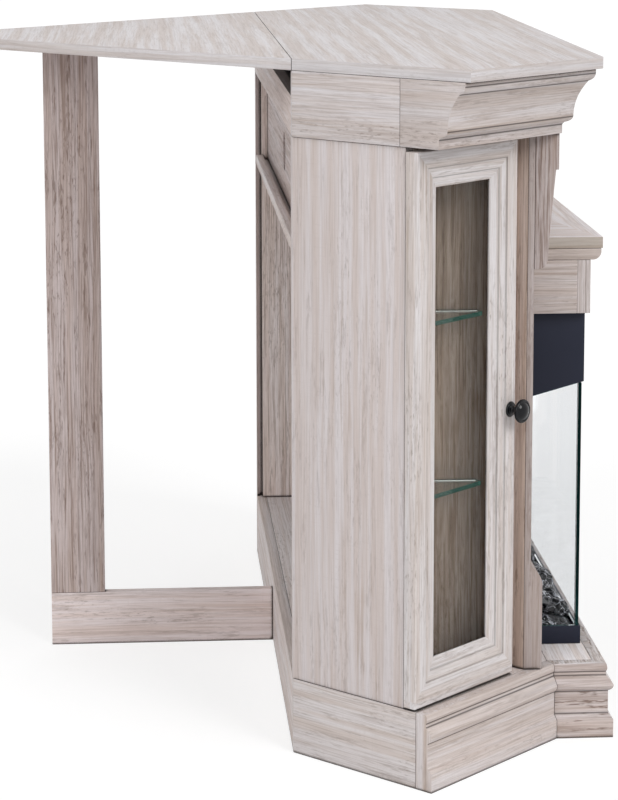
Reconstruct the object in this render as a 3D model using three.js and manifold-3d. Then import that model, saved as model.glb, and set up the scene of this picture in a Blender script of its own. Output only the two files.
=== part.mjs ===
// Corner fireplace cabinet: a flat-packed board carcass with two angled, glazed curio
// cupboards, a bay-fronted electric fire between them, and a tapering top extension on
// a post that fills the corner of the room.
//
// Millimetres. +Z is up, the front faces -Y, +X is to the right of someone facing it.
// While modelling, Y = 0 is the flat back of the cabinet and Z = 0 is the floor.
// The left cupboard is drawn in its own frame: its origin is the left corner of the top
// board, local x runs along the door face and local y runs back along the side wall.

import * as THREE from 'three';
import Module from 'manifold-3d';
import { mergeVertices } from 'three/addons/utils/BufferGeometryUtils.js';

const wasm = await Module();
wasm.setup();

// ---------------------------------------------------------------- driving dimensions

const BOARD = 16; // thickness of the carcass boards
const SEAT_GAP = 0.3; // clearance between pieces that rest on each other

// plan of the top
const HALF_WIDTH = 740; // centre line to the widest corner of the top
const SIDE_DEPTH = 213; // that corner to the flat back, measured front to back
const CORNER_CUT = 206; // the door face takes this much off both X and Y
const TIP_HALF_WIDTH = 107; // half the short edge at the tip of the extension
const TOP_JOINT = 0.6; // hairline between the top board and its extension

// heights
const TOTAL_HEIGHT = 965;
const TOP_THICKNESS = 16;
const FRIEZE_HEIGHT = 89;
const BASE_HEIGHT = 106;
const RAIL_HEIGHT = 53; // rail across the back of the frieze

// crown moulding, measured back from the edge of the top
const CROWN_LIP = 9; // the top of the moulding stands this far back
const CROWN_LIP_HEIGHT = 6;
const CROWN_COVE_TOP = 18;
const CROWN_COVE_FOOT = 37;
const CROWN_COVE_HEIGHT = 49;
const CROWN_BEAD_HEIGHT = 11;
const CROWN_FOOT = 51; // face of the plain fascia at the bottom
const CROWN_FASCIA_HEIGHT = 12.5;
const CROWN_THICKNESS = 18;
const CROWN_END_LENGTH = 115; // flush end block along the side wall
const CROWN_END_THICKNESS = 12;

// base moulding, outward from the face of its board
const BASE_FACE = 67.3; // the board face stands this far back from the edge of the top
const BASE_BOARD = 16.7;
const BASE_FOOT_PROJECTION = 10.2;
const BASE_RECESS_PROJECTION = 3.4;
const BASE_PLINTH_HEIGHT = 26;
const BASE_OGEE_HEIGHT = 8.5;
const BASE_TORUS_BOTTOM = 67;
const BASE_TORUS_HEIGHT = 22;
const BASE_BEAD_HEIGHT = 12;

// curio cupboards
const PANEL_INSET = 2; // side panel behind the face of the frieze and the base
const DOOR_FACE = 85; // door face stands this far back from the edge of the top
const DOOR_THICKNESS = 20;
const DOOR_BACK_GAP = 2;
const DOOR_WIDTH = 216;
const DOOR_FOOT_GAP = 3;
const DOOR_HEAD_GAP = 6;
const DOOR_STILE = 50;
const DOOR_BOTTOM_RAIL = 60;
const DOOR_SIGHT_MOULDING = 28; // width of the stepped moulding round the glass
const DOOR_GLASS_DEPTH = 13; // door face to the glass
const DOOR_REBATE = 8;
const DOOR_EDGE_ROUND = 1.5;
const GLASS_THICKNESS = 4;
const GLASS_PLAY = 0.6;
const CUPBOARD_WIDTH = 232; // widest corner of the top to the face of the partition
const PARTITION_BACK_GAP = 3.5; // to the side panel
const DOOR_LAP_WIDTH = 11; // the closed door laps over the angled stile by this much
const ANGLED_STILE_WIDTH = 36;
const SHELF_THICKNESS = 6;
const SHELF_SHARES = [0.363, 0.678]; // tops of the glass shelves, up the cupboard
const SHELF_FRONT_GAP = 3; // behind the angled stile
const SHELF_PLAY = 1;
const SHELF_CORNER_CUT = 9;
const PIN_DIAMETER = 5;
const PIN_LENGTH = 9;
const PIN_SHARES = [0.25, 0.7]; // along the depth of the board that holds the pins

// door furniture
const KNOB_RISE = 2.5; // above the middle of the door
const KNOB_DIAMETER = 33;
const KNOB_PROJECTION = 27;
const KNOB_ROSE_DIAMETER = 20;
const KNOB_STEM_DIAMETER = 9;
const CUP_DIAMETER = 26;
const CUP_DEPTH = 10.5;
const CUP_EDGE_DISTANCE = 18; // cup centre from the hinged edge of the door
const CUP_PLAY = 0.4;
const CUP_PLATE_WIDTH = 12;
const CUP_PLATE_HEIGHT = 44;
const HINGE_FROM_END = 95; // hinge centre from either end of the door
const HINGE_ARM_WIDTH = 14;
const HINGE_ARM_LENGTH = 46;
const HINGE_ARM_HEIGHT = 9;
const HINGE_SEAT_LENGTH = 18;
const HINGE_SEAT_HEIGHT = 40;
const HINGE_SEAT_THICKNESS = 2;

// front of the middle bay
const PILASTER_WIDTH = 98.2;
const PILASTER_THICKNESS = 9;
const PLINTH_BLOCK_DEPTH = 25.5;
const PLINTH_BLOCK_HEIGHT = 124;
const PLINTH_CAP_HEIGHT = 30;
const CORBEL_DEPTH = 41.5;
const CORBEL_HEIGHT = 187;
const CORBEL_BLOCK_HEIGHT = 50;
const CORBEL_STEP = 4;
const CORBEL_FOOT_DEPTH = 27.5;
const CORBEL_FOOT_ROUND = 13;
const CORBEL_CURVE_RISE = 70; // where the curve of the face is steepest, above its foot
const HEADER_HEIGHT = 76;
const HEADER_PROJECTION = 105; // in front of the stiles
const HEADER_BACK = 13;
const HEADER_STRIP_FRONT = 7;
const HEADER_STRIP_BACK = 19;
const HEADER_GROOVE = 0.8;
const MANTEL_THICKNESS = 16;
const MANTEL_OVERHANG = 17; // in front of the header
const MANTEL_TAIL = 60; // behind the stiles
const MANTEL_MOULDING_HEIGHT = 16;
const MANTEL_MOULDING_FLAT = 4;
const NICHE_HEIGHT = 141.7;
const NICHE_PANEL_SETBACK = 20.6;
const NICHE_PANEL_THICKNESS = 9;
const NICHE_GROOVE_SETBACK = 12; // groove in the niche shelf that holds the panel
const NICHE_GROOVE_DEPTH = 8;
const CABLE_HOLE_DIAMETER = 60;
const CABLE_HOLE_RISE = 62; // centre above the niche shelf

// hearth
const HEARTH_INSET = 21.5; // end of the hearth board inside the outer edge of the pilaster
const HEARTH_OVERHANG = 15.8; // in front of the header

// electric fire
const FIRE_REVEAL = 4.5; // hood stands back behind the header face
const HOOD_FRONT_HEIGHT = 101;
const HOOD_SLOPE = 0.28; // fall of the hood's lower edge towards the back
const TRAY_HEIGHT = 26;
const TRAY_RIM = 8;
const TRAY_WELL_DEPTH = 23;
const SHEET = 2; // folded steel of the hood, the housing and the flame screen
const BAY_GLASS_THICKNESS = 5;
const BAY_GLASS_SETBACK = 3;
const HOUSING_DEPTH = 165;
const HOUSING_INSET = 10; // side of the housing inside the end of the hood
const HOUSING_FLANGE_WIDTH = 45;
const HOUSING_CLEARANCE = 5; // housing to the hood and the tray in front of it
const SCREEN_DEPTH = 60; // flame screen, behind the mouth of the housing
const VENT_COUNT = 4;
const VENT_HEIGHT = 6;
const VENT_PITCH = 14;
const VENT_END_DISTANCE = 155; // end of the hood to the end of its slots
const VENT_DEPTH = 10;
const EMBER_BED_HEIGHT = 30;

// post under the extension
const POST_WIDTH = 84;
const POST_TIP_SETBACK = 70.5; // outer edge of the post to the tip of the extension
const STRETCHER_HEIGHT = 84;

// ---------------------------------------------------------------- derived sizes

const DIAGONAL = Math.SQRT1_2;
const ROOT2 = Math.SQRT2;
const FRIEZE_BOTTOM = TOTAL_HEIGHT - TOP_THICKNESS - FRIEZE_HEIGHT;
const FRIEZE_TOP = TOTAL_HEIGHT - TOP_THICKNESS - SEAT_GAP;
const TOP_FRONT = SIDE_DEPTH + CORNER_CUT;
const BACK_HALF_WIDTH = HALF_WIDTH - SIDE_DEPTH;
const TIP_DEPTH = BACK_HALF_WIDTH - TIP_HALF_WIDTH;
const CARCASS_FACE = DOOR_FACE + DOOR_THICKNESS + DOOR_BACK_GAP;
const CARCASS_BOTTOM = BASE_HEIGHT + SEAT_GAP;
const CARCASS_TOP = FRIEZE_BOTTOM - SEAT_GAP;
const PANEL_BACK = PANEL_INSET + BOARD;
const BASE_BACK = BASE_FACE + BASE_BOARD;
const DOOR_BOTTOM = BASE_HEIGHT + DOOR_FOOT_GAP;
const DOOR_TOP = FRIEZE_BOTTOM - DOOR_HEAD_GAP;
const KNOB_HEIGHT = (DOOR_BOTTOM + DOOR_TOP) / 2 + KNOB_RISE;
const SHELF_HEIGHTS = SHELF_SHARES.map((share) => BASE_HEIGHT + share * (FRIEZE_BOTTOM - BASE_HEIGHT));
const PARTITION_FACE = HALF_WIDTH - CUPBOARD_WIDTH;
const PARTITION_INNER = PARTITION_FACE - BOARD;
const PARTITION_BACK = BACK_HALF_WIDTH - PANEL_BACK * ROOT2 - PARTITION_FACE - PARTITION_BACK_GAP;

// The stiles are level with the door's face where their angled part ends.
const ANGLED_STILE_START = DOOR_WIDTH - DOOR_LAP_WIDTH;
const ANGLED_STILE_END = ANGLED_STILE_START + ANGLED_STILE_WIDTH;
const [STILE_STEP_X, STILE_FRONT] = cupboardPoint(ANGLED_STILE_END, DOOR_FACE);
const STILE_BACK = STILE_FRONT + BOARD;
const PILASTER_OUTER = -STILE_STEP_X;
const PILASTER_INNER = PILASTER_OUTER - PILASTER_WIDTH;
const BAY_HALF_WIDTH = PILASTER_INNER - SEAT_GAP;
const HEADER_FRONT = STILE_FRONT - HEADER_PROJECTION;

const NICHE_FLOOR = FRIEZE_BOTTOM - NICHE_HEIGHT;
const NICHE_SHELF_BOTTOM = NICHE_FLOOR - BOARD;
const MANTEL_BOTTOM = NICHE_SHELF_BOTTOM - SEAT_GAP - MANTEL_THICKNESS;
const MOULDING_BOTTOM = MANTEL_BOTTOM - SEAT_GAP - MANTEL_MOULDING_HEIGHT;
const HEADER_BOTTOM = MOULDING_BOTTOM - SEAT_GAP - HEADER_HEIGHT;

const HEARTH_HALF_WIDTH = PILASTER_OUTER - HEARTH_INSET;
const HEARTH_FACE = HEARTH_OVERHANG - HEADER_FRONT;
const HEARTH_FOOT = HEARTH_FACE + BASE_FOOT_PROJECTION;

const FIRE_HALF_WIDTH = BAY_HALF_WIDTH - BOARD;
const FIRE_FRONT = HEADER_FRONT + FIRE_REVEAL;
const FIRE_BACK = STILE_BACK + SEAT_GAP;
const HOOD_TOP = HEADER_BOTTOM - SEAT_GAP;
const HOOD_LIP = HOOD_TOP - HOOD_FRONT_HEIGHT;
const HOUSING_HALF_WIDTH = FIRE_HALF_WIDTH - HOUSING_INSET;

// ---------------------------------------------------------------- plan geometry

// Plan point of the left cupboard: u along the door face, v back along the side wall.
function cupboardPoint(u, v) {
  return [-HALF_WIDTH + (u + v) * DIAGONAL, -SIDE_DEPTH + (v - u) * DIAGONAL];
}

// Distance along the side wall at which a line parallel to it meets a plane Y = y.
function wallDistance(u, y) {
  return (y + SIDE_DEPTH) * ROOT2 + u;
}

// X, left of centre, where a line parallel to the side wall meets a plane Y = y.
function wallX(u, y) {
  return -BACK_HALF_WIDTH + y + u * ROOT2;
}

// Mitre point where the door face and the front meet, at one distance in from the edge.
function frontMitre(inset) {
  return cupboardPoint(CORNER_CUT * ROOT2 - inset * (ROOT2 - 1), inset);
}

// Mitre point where the base board meets the side of the hearth, outset from both faces.
function hearthMitre(outset) {
  const v = BASE_FACE - outset;
  const u = (HALF_WIDTH - HEARTH_HALF_WIDTH - outset) * ROOT2 - v;
  return cupboardPoint(u, v);
}

function mirrorPlan(points) {
  return points.map(([x, y]) => [-x, y]).reverse();
}

// ---------------------------------------------------------------- shape builders

function shapeOf(points) {
  return new THREE.Shape(points.map(([x, y]) => new THREE.Vector2(x, y)));
}

// Board with the given outline in plan, from one height to another.
function planBoard(points, bottom, top) {
  const outline = Array.isArray(points) ? shapeOf(points) : points;
  const geometry = new THREE.ExtrudeGeometry(outline, {
    depth: top - bottom,
    bevelEnabled: false,
    curveSegments: 16,
  });
  return geometry.translate(0, 0, bottom);
}

// Square board between two opposite corners.
function block(low, high) {
  const size = high.map((value, axis) => value - low[axis]);
  const geometry = new THREE.BoxGeometry(...size);
  return geometry.translate(...low.map((value, axis) => value + size[axis] / 2));
}

// Piece with a constant section (y, z), drawn as a shape, that runs along X.
function alongX(section, fromX, toX) {
  const geometry = new THREE.ExtrudeGeometry(section, {
    depth: toX - fromX,
    bevelEnabled: false,
    curveSegments: 10,
  });
  const turn = new THREE.Matrix4().set(0, 0, 1, fromX, 1, 0, 0, 0, 0, 1, 0, 0, 0, 0, 0, 1);
  return geometry.applyMatrix4(turn);
}

function geometryFrom(positions, indices) {
  const geometry = new THREE.BufferGeometry();
  geometry.setAttribute('position', new THREE.Float32BufferAttribute(positions, 3));
  geometry.setIndex(indices);
  return geometry;
}

// Moulding of one section whose joints are mitred. Each station turns an outset from
// the board face into a plan point, so one section serves every straight and corner.
function mouldingRun(section, stations) {
  const outline = section.extractPoints(8).shape;
  if (THREE.ShapeUtils.isClockWise(outline)) {
    outline.reverse();
  }
  const count = outline.length;
  const positions = [];
  for (const station of stations) {
    for (const point of outline) {
      const [x, y] = station(point.x);
      positions.push(x, y, point.y);
    }
  }
  const indices = [];
  for (let ring = 0; ring + 1 < stations.length; ring += 1) {
    for (let i = 0; i < count; i += 1) {
      const a = ring * count + i;
      const b = ring * count + ((i + 1) % count);
      indices.push(a, b, a + count, b, b + count, a + count);
    }
  }
  const last = (stations.length - 1) * count;
  for (const [a, b, c] of THREE.ShapeUtils.triangulateShape(outline, [])) {
    indices.push(a, c, b);
    indices.push(last + a, last + b, last + c);
  }
  return facingOut(geometryFrom(positions, indices));
}

// Ring of rectangles swept into a closed frame, such as a door round its glass.
function rectangleLoft(rings) {
  const positions = [];
  for (const { x0, x1, z0, z1, y } of rings) {
    positions.push(x0, y, z0, x1, y, z0, x1, y, z1, x0, y, z1);
  }
  const indices = [];
  rings.forEach((ring, index) => {
    const next = (index + 1) % rings.length;
    for (let i = 0; i < 4; i += 1) {
      const a = index * 4 + i;
      const b = index * 4 + ((i + 1) % 4);
      const c = next * 4 + i;
      const d = next * 4 + ((i + 1) % 4);
      indices.push(a, b, c, b, d, c);
    }
  });
  return facingOut(geometryFrom(positions, indices));
}

function signedVolume(geometry) {
  const position = geometry.getAttribute('position');
  const index = geometry.getIndex();
  const corner = [0, 1, 2].map(() => new THREE.Vector3());
  let total = 0;
  for (let i = 0; i < index.count; i += 3) {
    corner.forEach((point, k) => point.fromBufferAttribute(position, index.getX(i + k)));
    total += corner[0].dot(corner[1].clone().cross(corner[2])) / 6;
  }
  return total;
}

function turnInsideOut(geometry) {
  const index = geometry.getIndex();
  for (let i = 0; i < index.count; i += 3) {
    const first = index.getX(i);
    index.setX(i, index.getX(i + 1));
    index.setX(i + 1, first);
  }
  return geometry;
}

function facingOut(geometry) {
  return signedVolume(geometry) < 0 ? turnInsideOut(geometry) : geometry;
}

// Plain indexed copy with shared corners, which the solid operations need.
function welded(geometry) {
  const bare = geometry.clone();
  bare.deleteAttribute('normal');
  bare.deleteAttribute('uv');
  return mergeVertices(bare, 1e-4);
}

function mirrored(geometry) {
  const copy = welded(geometry);
  copy.scale(-1, 1, 1);
  return turnInsideOut(copy);
}

function toSolid(geometry) {
  const bare = welded(geometry);
  const mesh = new wasm.Mesh({
    numProp: 3,
    vertProperties: new Float32Array(bare.getAttribute('position').array),
    triVerts: new Uint32Array(bare.getIndex().array),
  });
  return new wasm.Manifold(mesh);
}

function fromSolid(solid) {
  const mesh = solid.getMesh();
  return geometryFrom(Array.from(mesh.vertProperties), Array.from(mesh.triVerts));
}

function cut(geometry, cutters) {
  const result = cutters.reduce((solid, cutter) => solid.subtract(toSolid(cutter)), toSolid(geometry));
  return fromSolid(result);
}

function join(geometry, additions) {
  const result = additions.reduce((solid, piece) => solid.add(toSolid(piece)), toSolid(geometry));
  return fromSolid(result);
}

// Cylinder along +X, +Y or +Z from a starting point.
function rod(axis, start, length, diameter, sides = 20) {
  const geometry = new THREE.CylinderGeometry(diameter / 2, diameter / 2, length, sides);
  if (axis === 'x') {
    geometry.rotateZ(-Math.PI / 2).translate(length / 2, 0, 0);
  } else if (axis === 'y') {
    geometry.translate(0, length / 2, 0);
  } else {
    geometry.rotateX(Math.PI / 2).translate(0, 0, length / 2);
  }
  return geometry.translate(...start);
}

// ---------------------------------------------------------------- materials

function finish(color, roughness, metalness = 0) {
  return new THREE.MeshStandardMaterial({ color, roughness, metalness });
}

const PALE_WOOD = finish(0xcfc5bf, 0.6);
const SHADED_WOOD = finish(0xb5a89e, 0.65);
const BLACK_STEEL = finish(0x23252d, 0.45, 0.4);
const KNOB_BLACK = finish(0x17181c, 0.25, 0.3);
const HINGE_STEEL = finish(0xb8babd, 0.35, 0.9);
const CLEAR_GLASS = finish(0xcfe0dc, 0.05);
const EMBER_CHARCOAL = finish(0x2a2a2e, 0.9);

// ---------------------------------------------------------------- assembly

const fireplace = new THREE.Group();
const leftCupboard = new THREE.Group();
leftCupboard.position.set(-HALF_WIDTH, -SIDE_DEPTH, 0);
leftCupboard.rotation.z = -Math.PI / 4;
const rightCupboard = new THREE.Group();
rightCupboard.position.set(HALF_WIDTH, -SIDE_DEPTH, 0);
rightCupboard.rotation.z = Math.PI / 4;
fireplace.add(leftCupboard, rightCupboard);

function add(name, geometry, material, group = fireplace) {
  const mesh = new THREE.Mesh(geometry, material.clone());
  mesh.name = name;
  group.add(mesh);
  return mesh;
}

// A piece of the left side and its mirror image on the right.
function addPair(name, geometry, material, groups = [fireplace, fireplace]) {
  add(`left_${name}`, geometry, material, groups[0]);
  add(`right_${name}`, mirrored(geometry), material, groups[1]);
}

const cupboards = [leftCupboard, rightCupboard];

// ---------------------------------------------------------------- top

function buildTop() {
  const leftEdge = [[-BACK_HALF_WIDTH, 0], cupboardPoint(0, 0), frontMitre(0)];
  const outline = [...leftEdge, ...mirrorPlan(leftEdge)];
  add('top_board', planBoard(outline, TOTAL_HEIGHT - TOP_THICKNESS, TOTAL_HEIGHT), PALE_WOOD);

  const seam = BACK_HALF_WIDTH - TOP_JOINT;
  const extension = [
    [-seam, TOP_JOINT],
    [seam, TOP_JOINT],
    [TIP_HALF_WIDTH, TIP_DEPTH],
    [-TIP_HALF_WIDTH, TIP_DEPTH],
  ];
  add('top_extension', planBoard(extension, TOTAL_HEIGHT - TOP_THICKNESS, TOTAL_HEIGHT), PALE_WOOD);
}

function buildPost() {
  const outer = TIP_DEPTH - POST_TIP_SETBACK;
  const half = BOARD / 2;
  const post = block(
    [-half, outer - POST_WIDTH, STRETCHER_HEIGHT + SEAT_GAP],
    [half, outer, FRIEZE_TOP],
  );
  add('rear_post', post, SHADED_WOOD);
  const stretcher = block([-half, SEAT_GAP, 0], [half, outer, STRETCHER_HEIGHT]);
  add('rear_stretcher', stretcher, SHADED_WOOD);
}

// ---------------------------------------------------------------- crown and frieze

// Face of the crown from the lip under the top down to the fascia, as (inset, height).
function crownFace(path) {
  const lipBottom = FRIEZE_TOP - CROWN_LIP_HEIGHT;
  const beadTop = FRIEZE_BOTTOM + CROWN_FASCIA_HEIGHT + CROWN_BEAD_HEIGHT;
  const coveTop = beadTop + CROWN_COVE_HEIGHT;
  const fasciaTop = FRIEZE_BOTTOM + CROWN_FASCIA_HEIGHT;
  path.moveTo(CROWN_LIP, FRIEZE_TOP);
  path.lineTo(CROWN_LIP, lipBottom);
  path.quadraticCurveTo(CROWN_LIP + 1, coveTop + 2, CROWN_COVE_TOP, coveTop);
  path.bezierCurveTo(
    CROWN_COVE_TOP + 9, coveTop - 11,
    CROWN_COVE_FOOT, coveTop - 26,
    CROWN_COVE_FOOT, beadTop,
  );
  path.quadraticCurveTo(CROWN_COVE_FOOT + 1, beadTop - 6, CROWN_FOOT - 3, fasciaTop + 3);
  path.lineTo(CROWN_FOOT, fasciaTop);
  path.lineTo(CROWN_FOOT, FRIEZE_BOTTOM);
}

function crownSection() {
  const section = new THREE.Shape();
  crownFace(section);
  section.lineTo(CROWN_FOOT + CROWN_THICKNESS, FRIEZE_BOTTOM);
  section.lineTo(CROWN_FOOT + CROWN_THICKNESS, FRIEZE_BOTTOM + BOARD + SEAT_GAP);
  section.lineTo(CROWN_COVE_TOP + CROWN_THICKNESS, FRIEZE_TOP);
  return section;
}

// Flush block that closes the end of the crown on the side wall.
function crownEnd() {
  const section = new THREE.Shape();
  crownFace(section);
  section.lineTo(CROWN_END_LENGTH, FRIEZE_BOTTOM);
  section.lineTo(CROWN_END_LENGTH, FRIEZE_TOP);
  const ends = [(v) => cupboardPoint(0, v), (v) => cupboardPoint(CROWN_END_THICKNESS, v)];
  return mouldingRun(section, ends);
}

function buildCrown() {
  const halfJoint = SEAT_GAP / 2;
  const side = mouldingRun(crownSection(), [
    (v) => cupboardPoint(0, v),
    (v) => cupboardPoint(CORNER_CUT * ROOT2 - v * (ROOT2 - 1) - halfJoint, v),
  ]);
  addPair('crown', join(side, [crownEnd()]), PALE_WOOD);

  const left = (inset) => [frontMitre(inset)[0] + halfJoint, inset - TOP_FRONT];
  const right = (inset) => [-left(inset)[0], inset - TOP_FRONT];
  add('front_crown', mouldingRun(crownSection(), [left, right]), PALE_WOOD);
}

function buildFrieze() {
  const start = CROWN_END_LENGTH + SEAT_GAP;
  const outline = [
    [0, start],
    [BOARD, start],
    [BOARD, wallDistance(BOARD, 0)],
    [0, wallDistance(0, 0)],
  ];
  addPair('side_frieze', planBoard(outline, FRIEZE_BOTTOM, FRIEZE_TOP), PALE_WOOD, cupboards);

  const rail = backRail(BOARD + SEAT_GAP, FRIEZE_BOTTOM, FRIEZE_BOTTOM + RAIL_HEIGHT);
  add('frieze_back_rail', rail, SHADED_WOOD);

  const inset = CROWN_FOOT + CROWN_THICKNESS + SEAT_GAP;
  const back = -BOARD - SEAT_GAP;
  const side = BOARD + SEAT_GAP;
  const leftEdge = [[wallX(side, back), back], cupboardPoint(side, inset), frontMitre(inset)];
  const ceiling = [...leftEdge, ...mirrorPlan(leftEdge)];
  add('ceiling_board', planBoard(ceiling, FRIEZE_BOTTOM, FRIEZE_BOTTOM + BOARD), PALE_WOOD);
}

// Board across the flat back, with its ends cut to lie against the two side walls.
function backRail(wallInset, bottom, top) {
  const ends = [[wallX(wallInset, 0), 0], [wallX(wallInset, -BOARD), -BOARD]];
  return planBoard([...ends, ...mirrorPlan(ends)], bottom, top);
}

// ---------------------------------------------------------------- base and hearth

// Base moulding as (outset from the board face, height), with the board behind it.
function baseSection() {
  const ogeeTop = BASE_PLINTH_HEIGHT + BASE_OGEE_HEIGHT;
  const torusTop = BASE_TORUS_BOTTOM + BASE_TORUS_HEIGHT;
  const torusMiddle = BASE_TORUS_BOTTOM + 9;
  const beadBottom = BASE_HEIGHT - BASE_BEAD_HEIGHT;
  const section = new THREE.Shape();
  section.moveTo(-BASE_BOARD, 0);
  section.lineTo(BASE_FOOT_PROJECTION, 0);
  section.lineTo(BASE_FOOT_PROJECTION, BASE_PLINTH_HEIGHT);
  section.bezierCurveTo(
    BASE_FOOT_PROJECTION - 2, BASE_PLINTH_HEIGHT + 4,
    BASE_RECESS_PROJECTION + 3, ogeeTop - 5,
    BASE_RECESS_PROJECTION, ogeeTop,
  );
  section.lineTo(BASE_RECESS_PROJECTION, BASE_TORUS_BOTTOM);
  section.quadraticCurveTo(
    BASE_FOOT_PROJECTION - 1, BASE_TORUS_BOTTOM + 3,
    BASE_FOOT_PROJECTION, torusMiddle,
  );
  section.quadraticCurveTo(BASE_FOOT_PROJECTION - 1, torusMiddle + 4, 2, torusTop - 2);
  section.lineTo(0.5, torusTop);
  section.lineTo(0.5, beadBottom);
  section.quadraticCurveTo(2.6, beadBottom + 3, 2, beadBottom + 6);
  section.quadraticCurveTo(1.5, BASE_HEIGHT - 1, 0, BASE_HEIGHT);
  section.lineTo(-BASE_BOARD, BASE_HEIGHT);
  return section;
}

function buildBase() {
  const halfJoint = SEAT_GAP / 2;
  const doorSide = mouldingRun(baseSection(), [
    (outset) => cupboardPoint(0, BASE_FACE - outset),
    (outset) => {
      const [x, y] = hearthMitre(outset);
      return [x - halfJoint * DIAGONAL, y + halfJoint * DIAGONAL];
    },
  ]);
  addPair('base_moulding', doorSide, PALE_WOOD);

  const back = (outset) => {
    const [x, y] = hearthMitre(outset);
    return [x, y - halfJoint];
  };
  const corner = (outset) => [-HEARTH_HALF_WIDTH - outset, -HEARTH_FACE - outset];
  const mirror = (station) => (outset) => {
    const [x, y] = station(outset);
    return [-x, y];
  };
  const stations = [back, corner, mirror(corner), mirror(back)];
  add('hearth_moulding', mouldingRun(baseSection(), stations), PALE_WOOD);

  const start = BASE_BACK + SEAT_GAP;
  const outline = [
    [0, start],
    [BOARD, start],
    [BOARD, wallDistance(BOARD, 0)],
    [0, wallDistance(0, 0)],
  ];
  addPair('side_base_board', planBoard(outline, 0, BASE_HEIGHT), PALE_WOOD, cupboards);
  add('base_back_rail', backRail(BOARD + SEAT_GAP, 0, BASE_HEIGHT), PALE_WOOD);
}

function buildFloor() {
  const bottom = BASE_HEIGHT - BOARD;
  const side = BOARD + SEAT_GAP;
  const back = -BOARD - SEAT_GAP;
  const front = hearthMitre(-BASE_BOARD)[1] + SEAT_GAP;
  const boardFront = BASE_BACK + SEAT_GAP;
  const innerU = boardFront - (front + SIDE_DEPTH) * ROOT2;
  const leftEdge = [
    [wallX(side, back), back],
    cupboardPoint(side, boardFront),
    cupboardPoint(innerU, boardFront),
  ];
  const outline = [...leftEdge, ...mirrorPlan(leftEdge)];
  add('floor_board', planBoard(outline, bottom, BASE_HEIGHT), PALE_WOOD);

  const hearthHalf = HEARTH_HALF_WIDTH - BASE_BOARD - SEAT_GAP;
  const hearthFront = -HEARTH_FACE + BASE_BOARD + SEAT_GAP;
  const hearth = block([-hearthHalf, hearthFront, bottom], [hearthHalf, front - SEAT_GAP, BASE_HEIGHT]);
  add('hearth_board', hearth, PALE_WOOD);
}

// ---------------------------------------------------------------- curio cupboards

function shelfPinHeight(shelfTop) {
  return shelfTop - SHELF_THICKNESS - SEAT_GAP - PIN_DIAMETER / 2;
}

function buildWalls() {
  const panel = planBoard(
    [
      [PANEL_INSET, CARCASS_FACE],
      [PANEL_BACK, CARCASS_FACE],
      [PANEL_BACK, wallDistance(PANEL_BACK, 0)],
      [PANEL_INSET, wallDistance(PANEL_INSET, 0)],
    ],
    CARCASS_BOTTOM,
    CARCASS_TOP,
  );
  const stileBack = CARCASS_FACE + BOARD + SEAT_GAP;
  const frontAt = (x) => stileBack * ROOT2 - SIDE_DEPTH - HALF_WIDTH + x;
  const panelPins = [];
  const partitionPins = [];
  for (const height of SHELF_HEIGHTS.map(shelfPinHeight)) {
    for (const share of PIN_SHARES) {
      const v = CARCASS_FACE + share * (wallDistance(PANEL_BACK, 0) - CARCASS_FACE);
      panelPins.push(rod('x', [PANEL_BACK - 1, v, height], PIN_LENGTH + 1, PIN_DIAMETER, 12));
      const y = share * frontAt(PARTITION_FACE);
      const start = [-PARTITION_FACE - PIN_LENGTH, y, height];
      partitionPins.push(rod('x', start, PIN_LENGTH + 1, PIN_DIAMETER, 12));
    }
  }
  addPair('side_panel', join(panel, panelPins), PALE_WOOD, cupboards);

  const partition = planBoard(
    [
      [-PARTITION_FACE, PARTITION_BACK],
      [-PARTITION_FACE, frontAt(PARTITION_FACE)],
      [-PARTITION_INNER, frontAt(PARTITION_INNER)],
      [-PARTITION_INNER, PARTITION_BACK],
    ],
    CARCASS_BOTTOM,
    CARCASS_TOP,
  );
  addPair('partition', join(partition, partitionPins), SHADED_WOOD);
}

function buildStiles() {
  const legBack = CARCASS_FACE + BOARD;
  const elbow = legBack - (STILE_BACK + SIDE_DEPTH) * ROOT2;
  const outline = [
    cupboardPoint(ANGLED_STILE_START, CARCASS_FACE),
    cupboardPoint(ANGLED_STILE_END, CARCASS_FACE),
    cupboardPoint(ANGLED_STILE_END, DOOR_FACE),
    [-PILASTER_INNER, STILE_FRONT],
    [-PILASTER_INNER, STILE_BACK],
    cupboardPoint(elbow, legBack),
    cupboardPoint(ANGLED_STILE_START, legBack),
  ];
  addPair('front_stile', planBoard(outline, CARCASS_BOTTOM, CARCASS_TOP), SHADED_WOOD);
}

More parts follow.
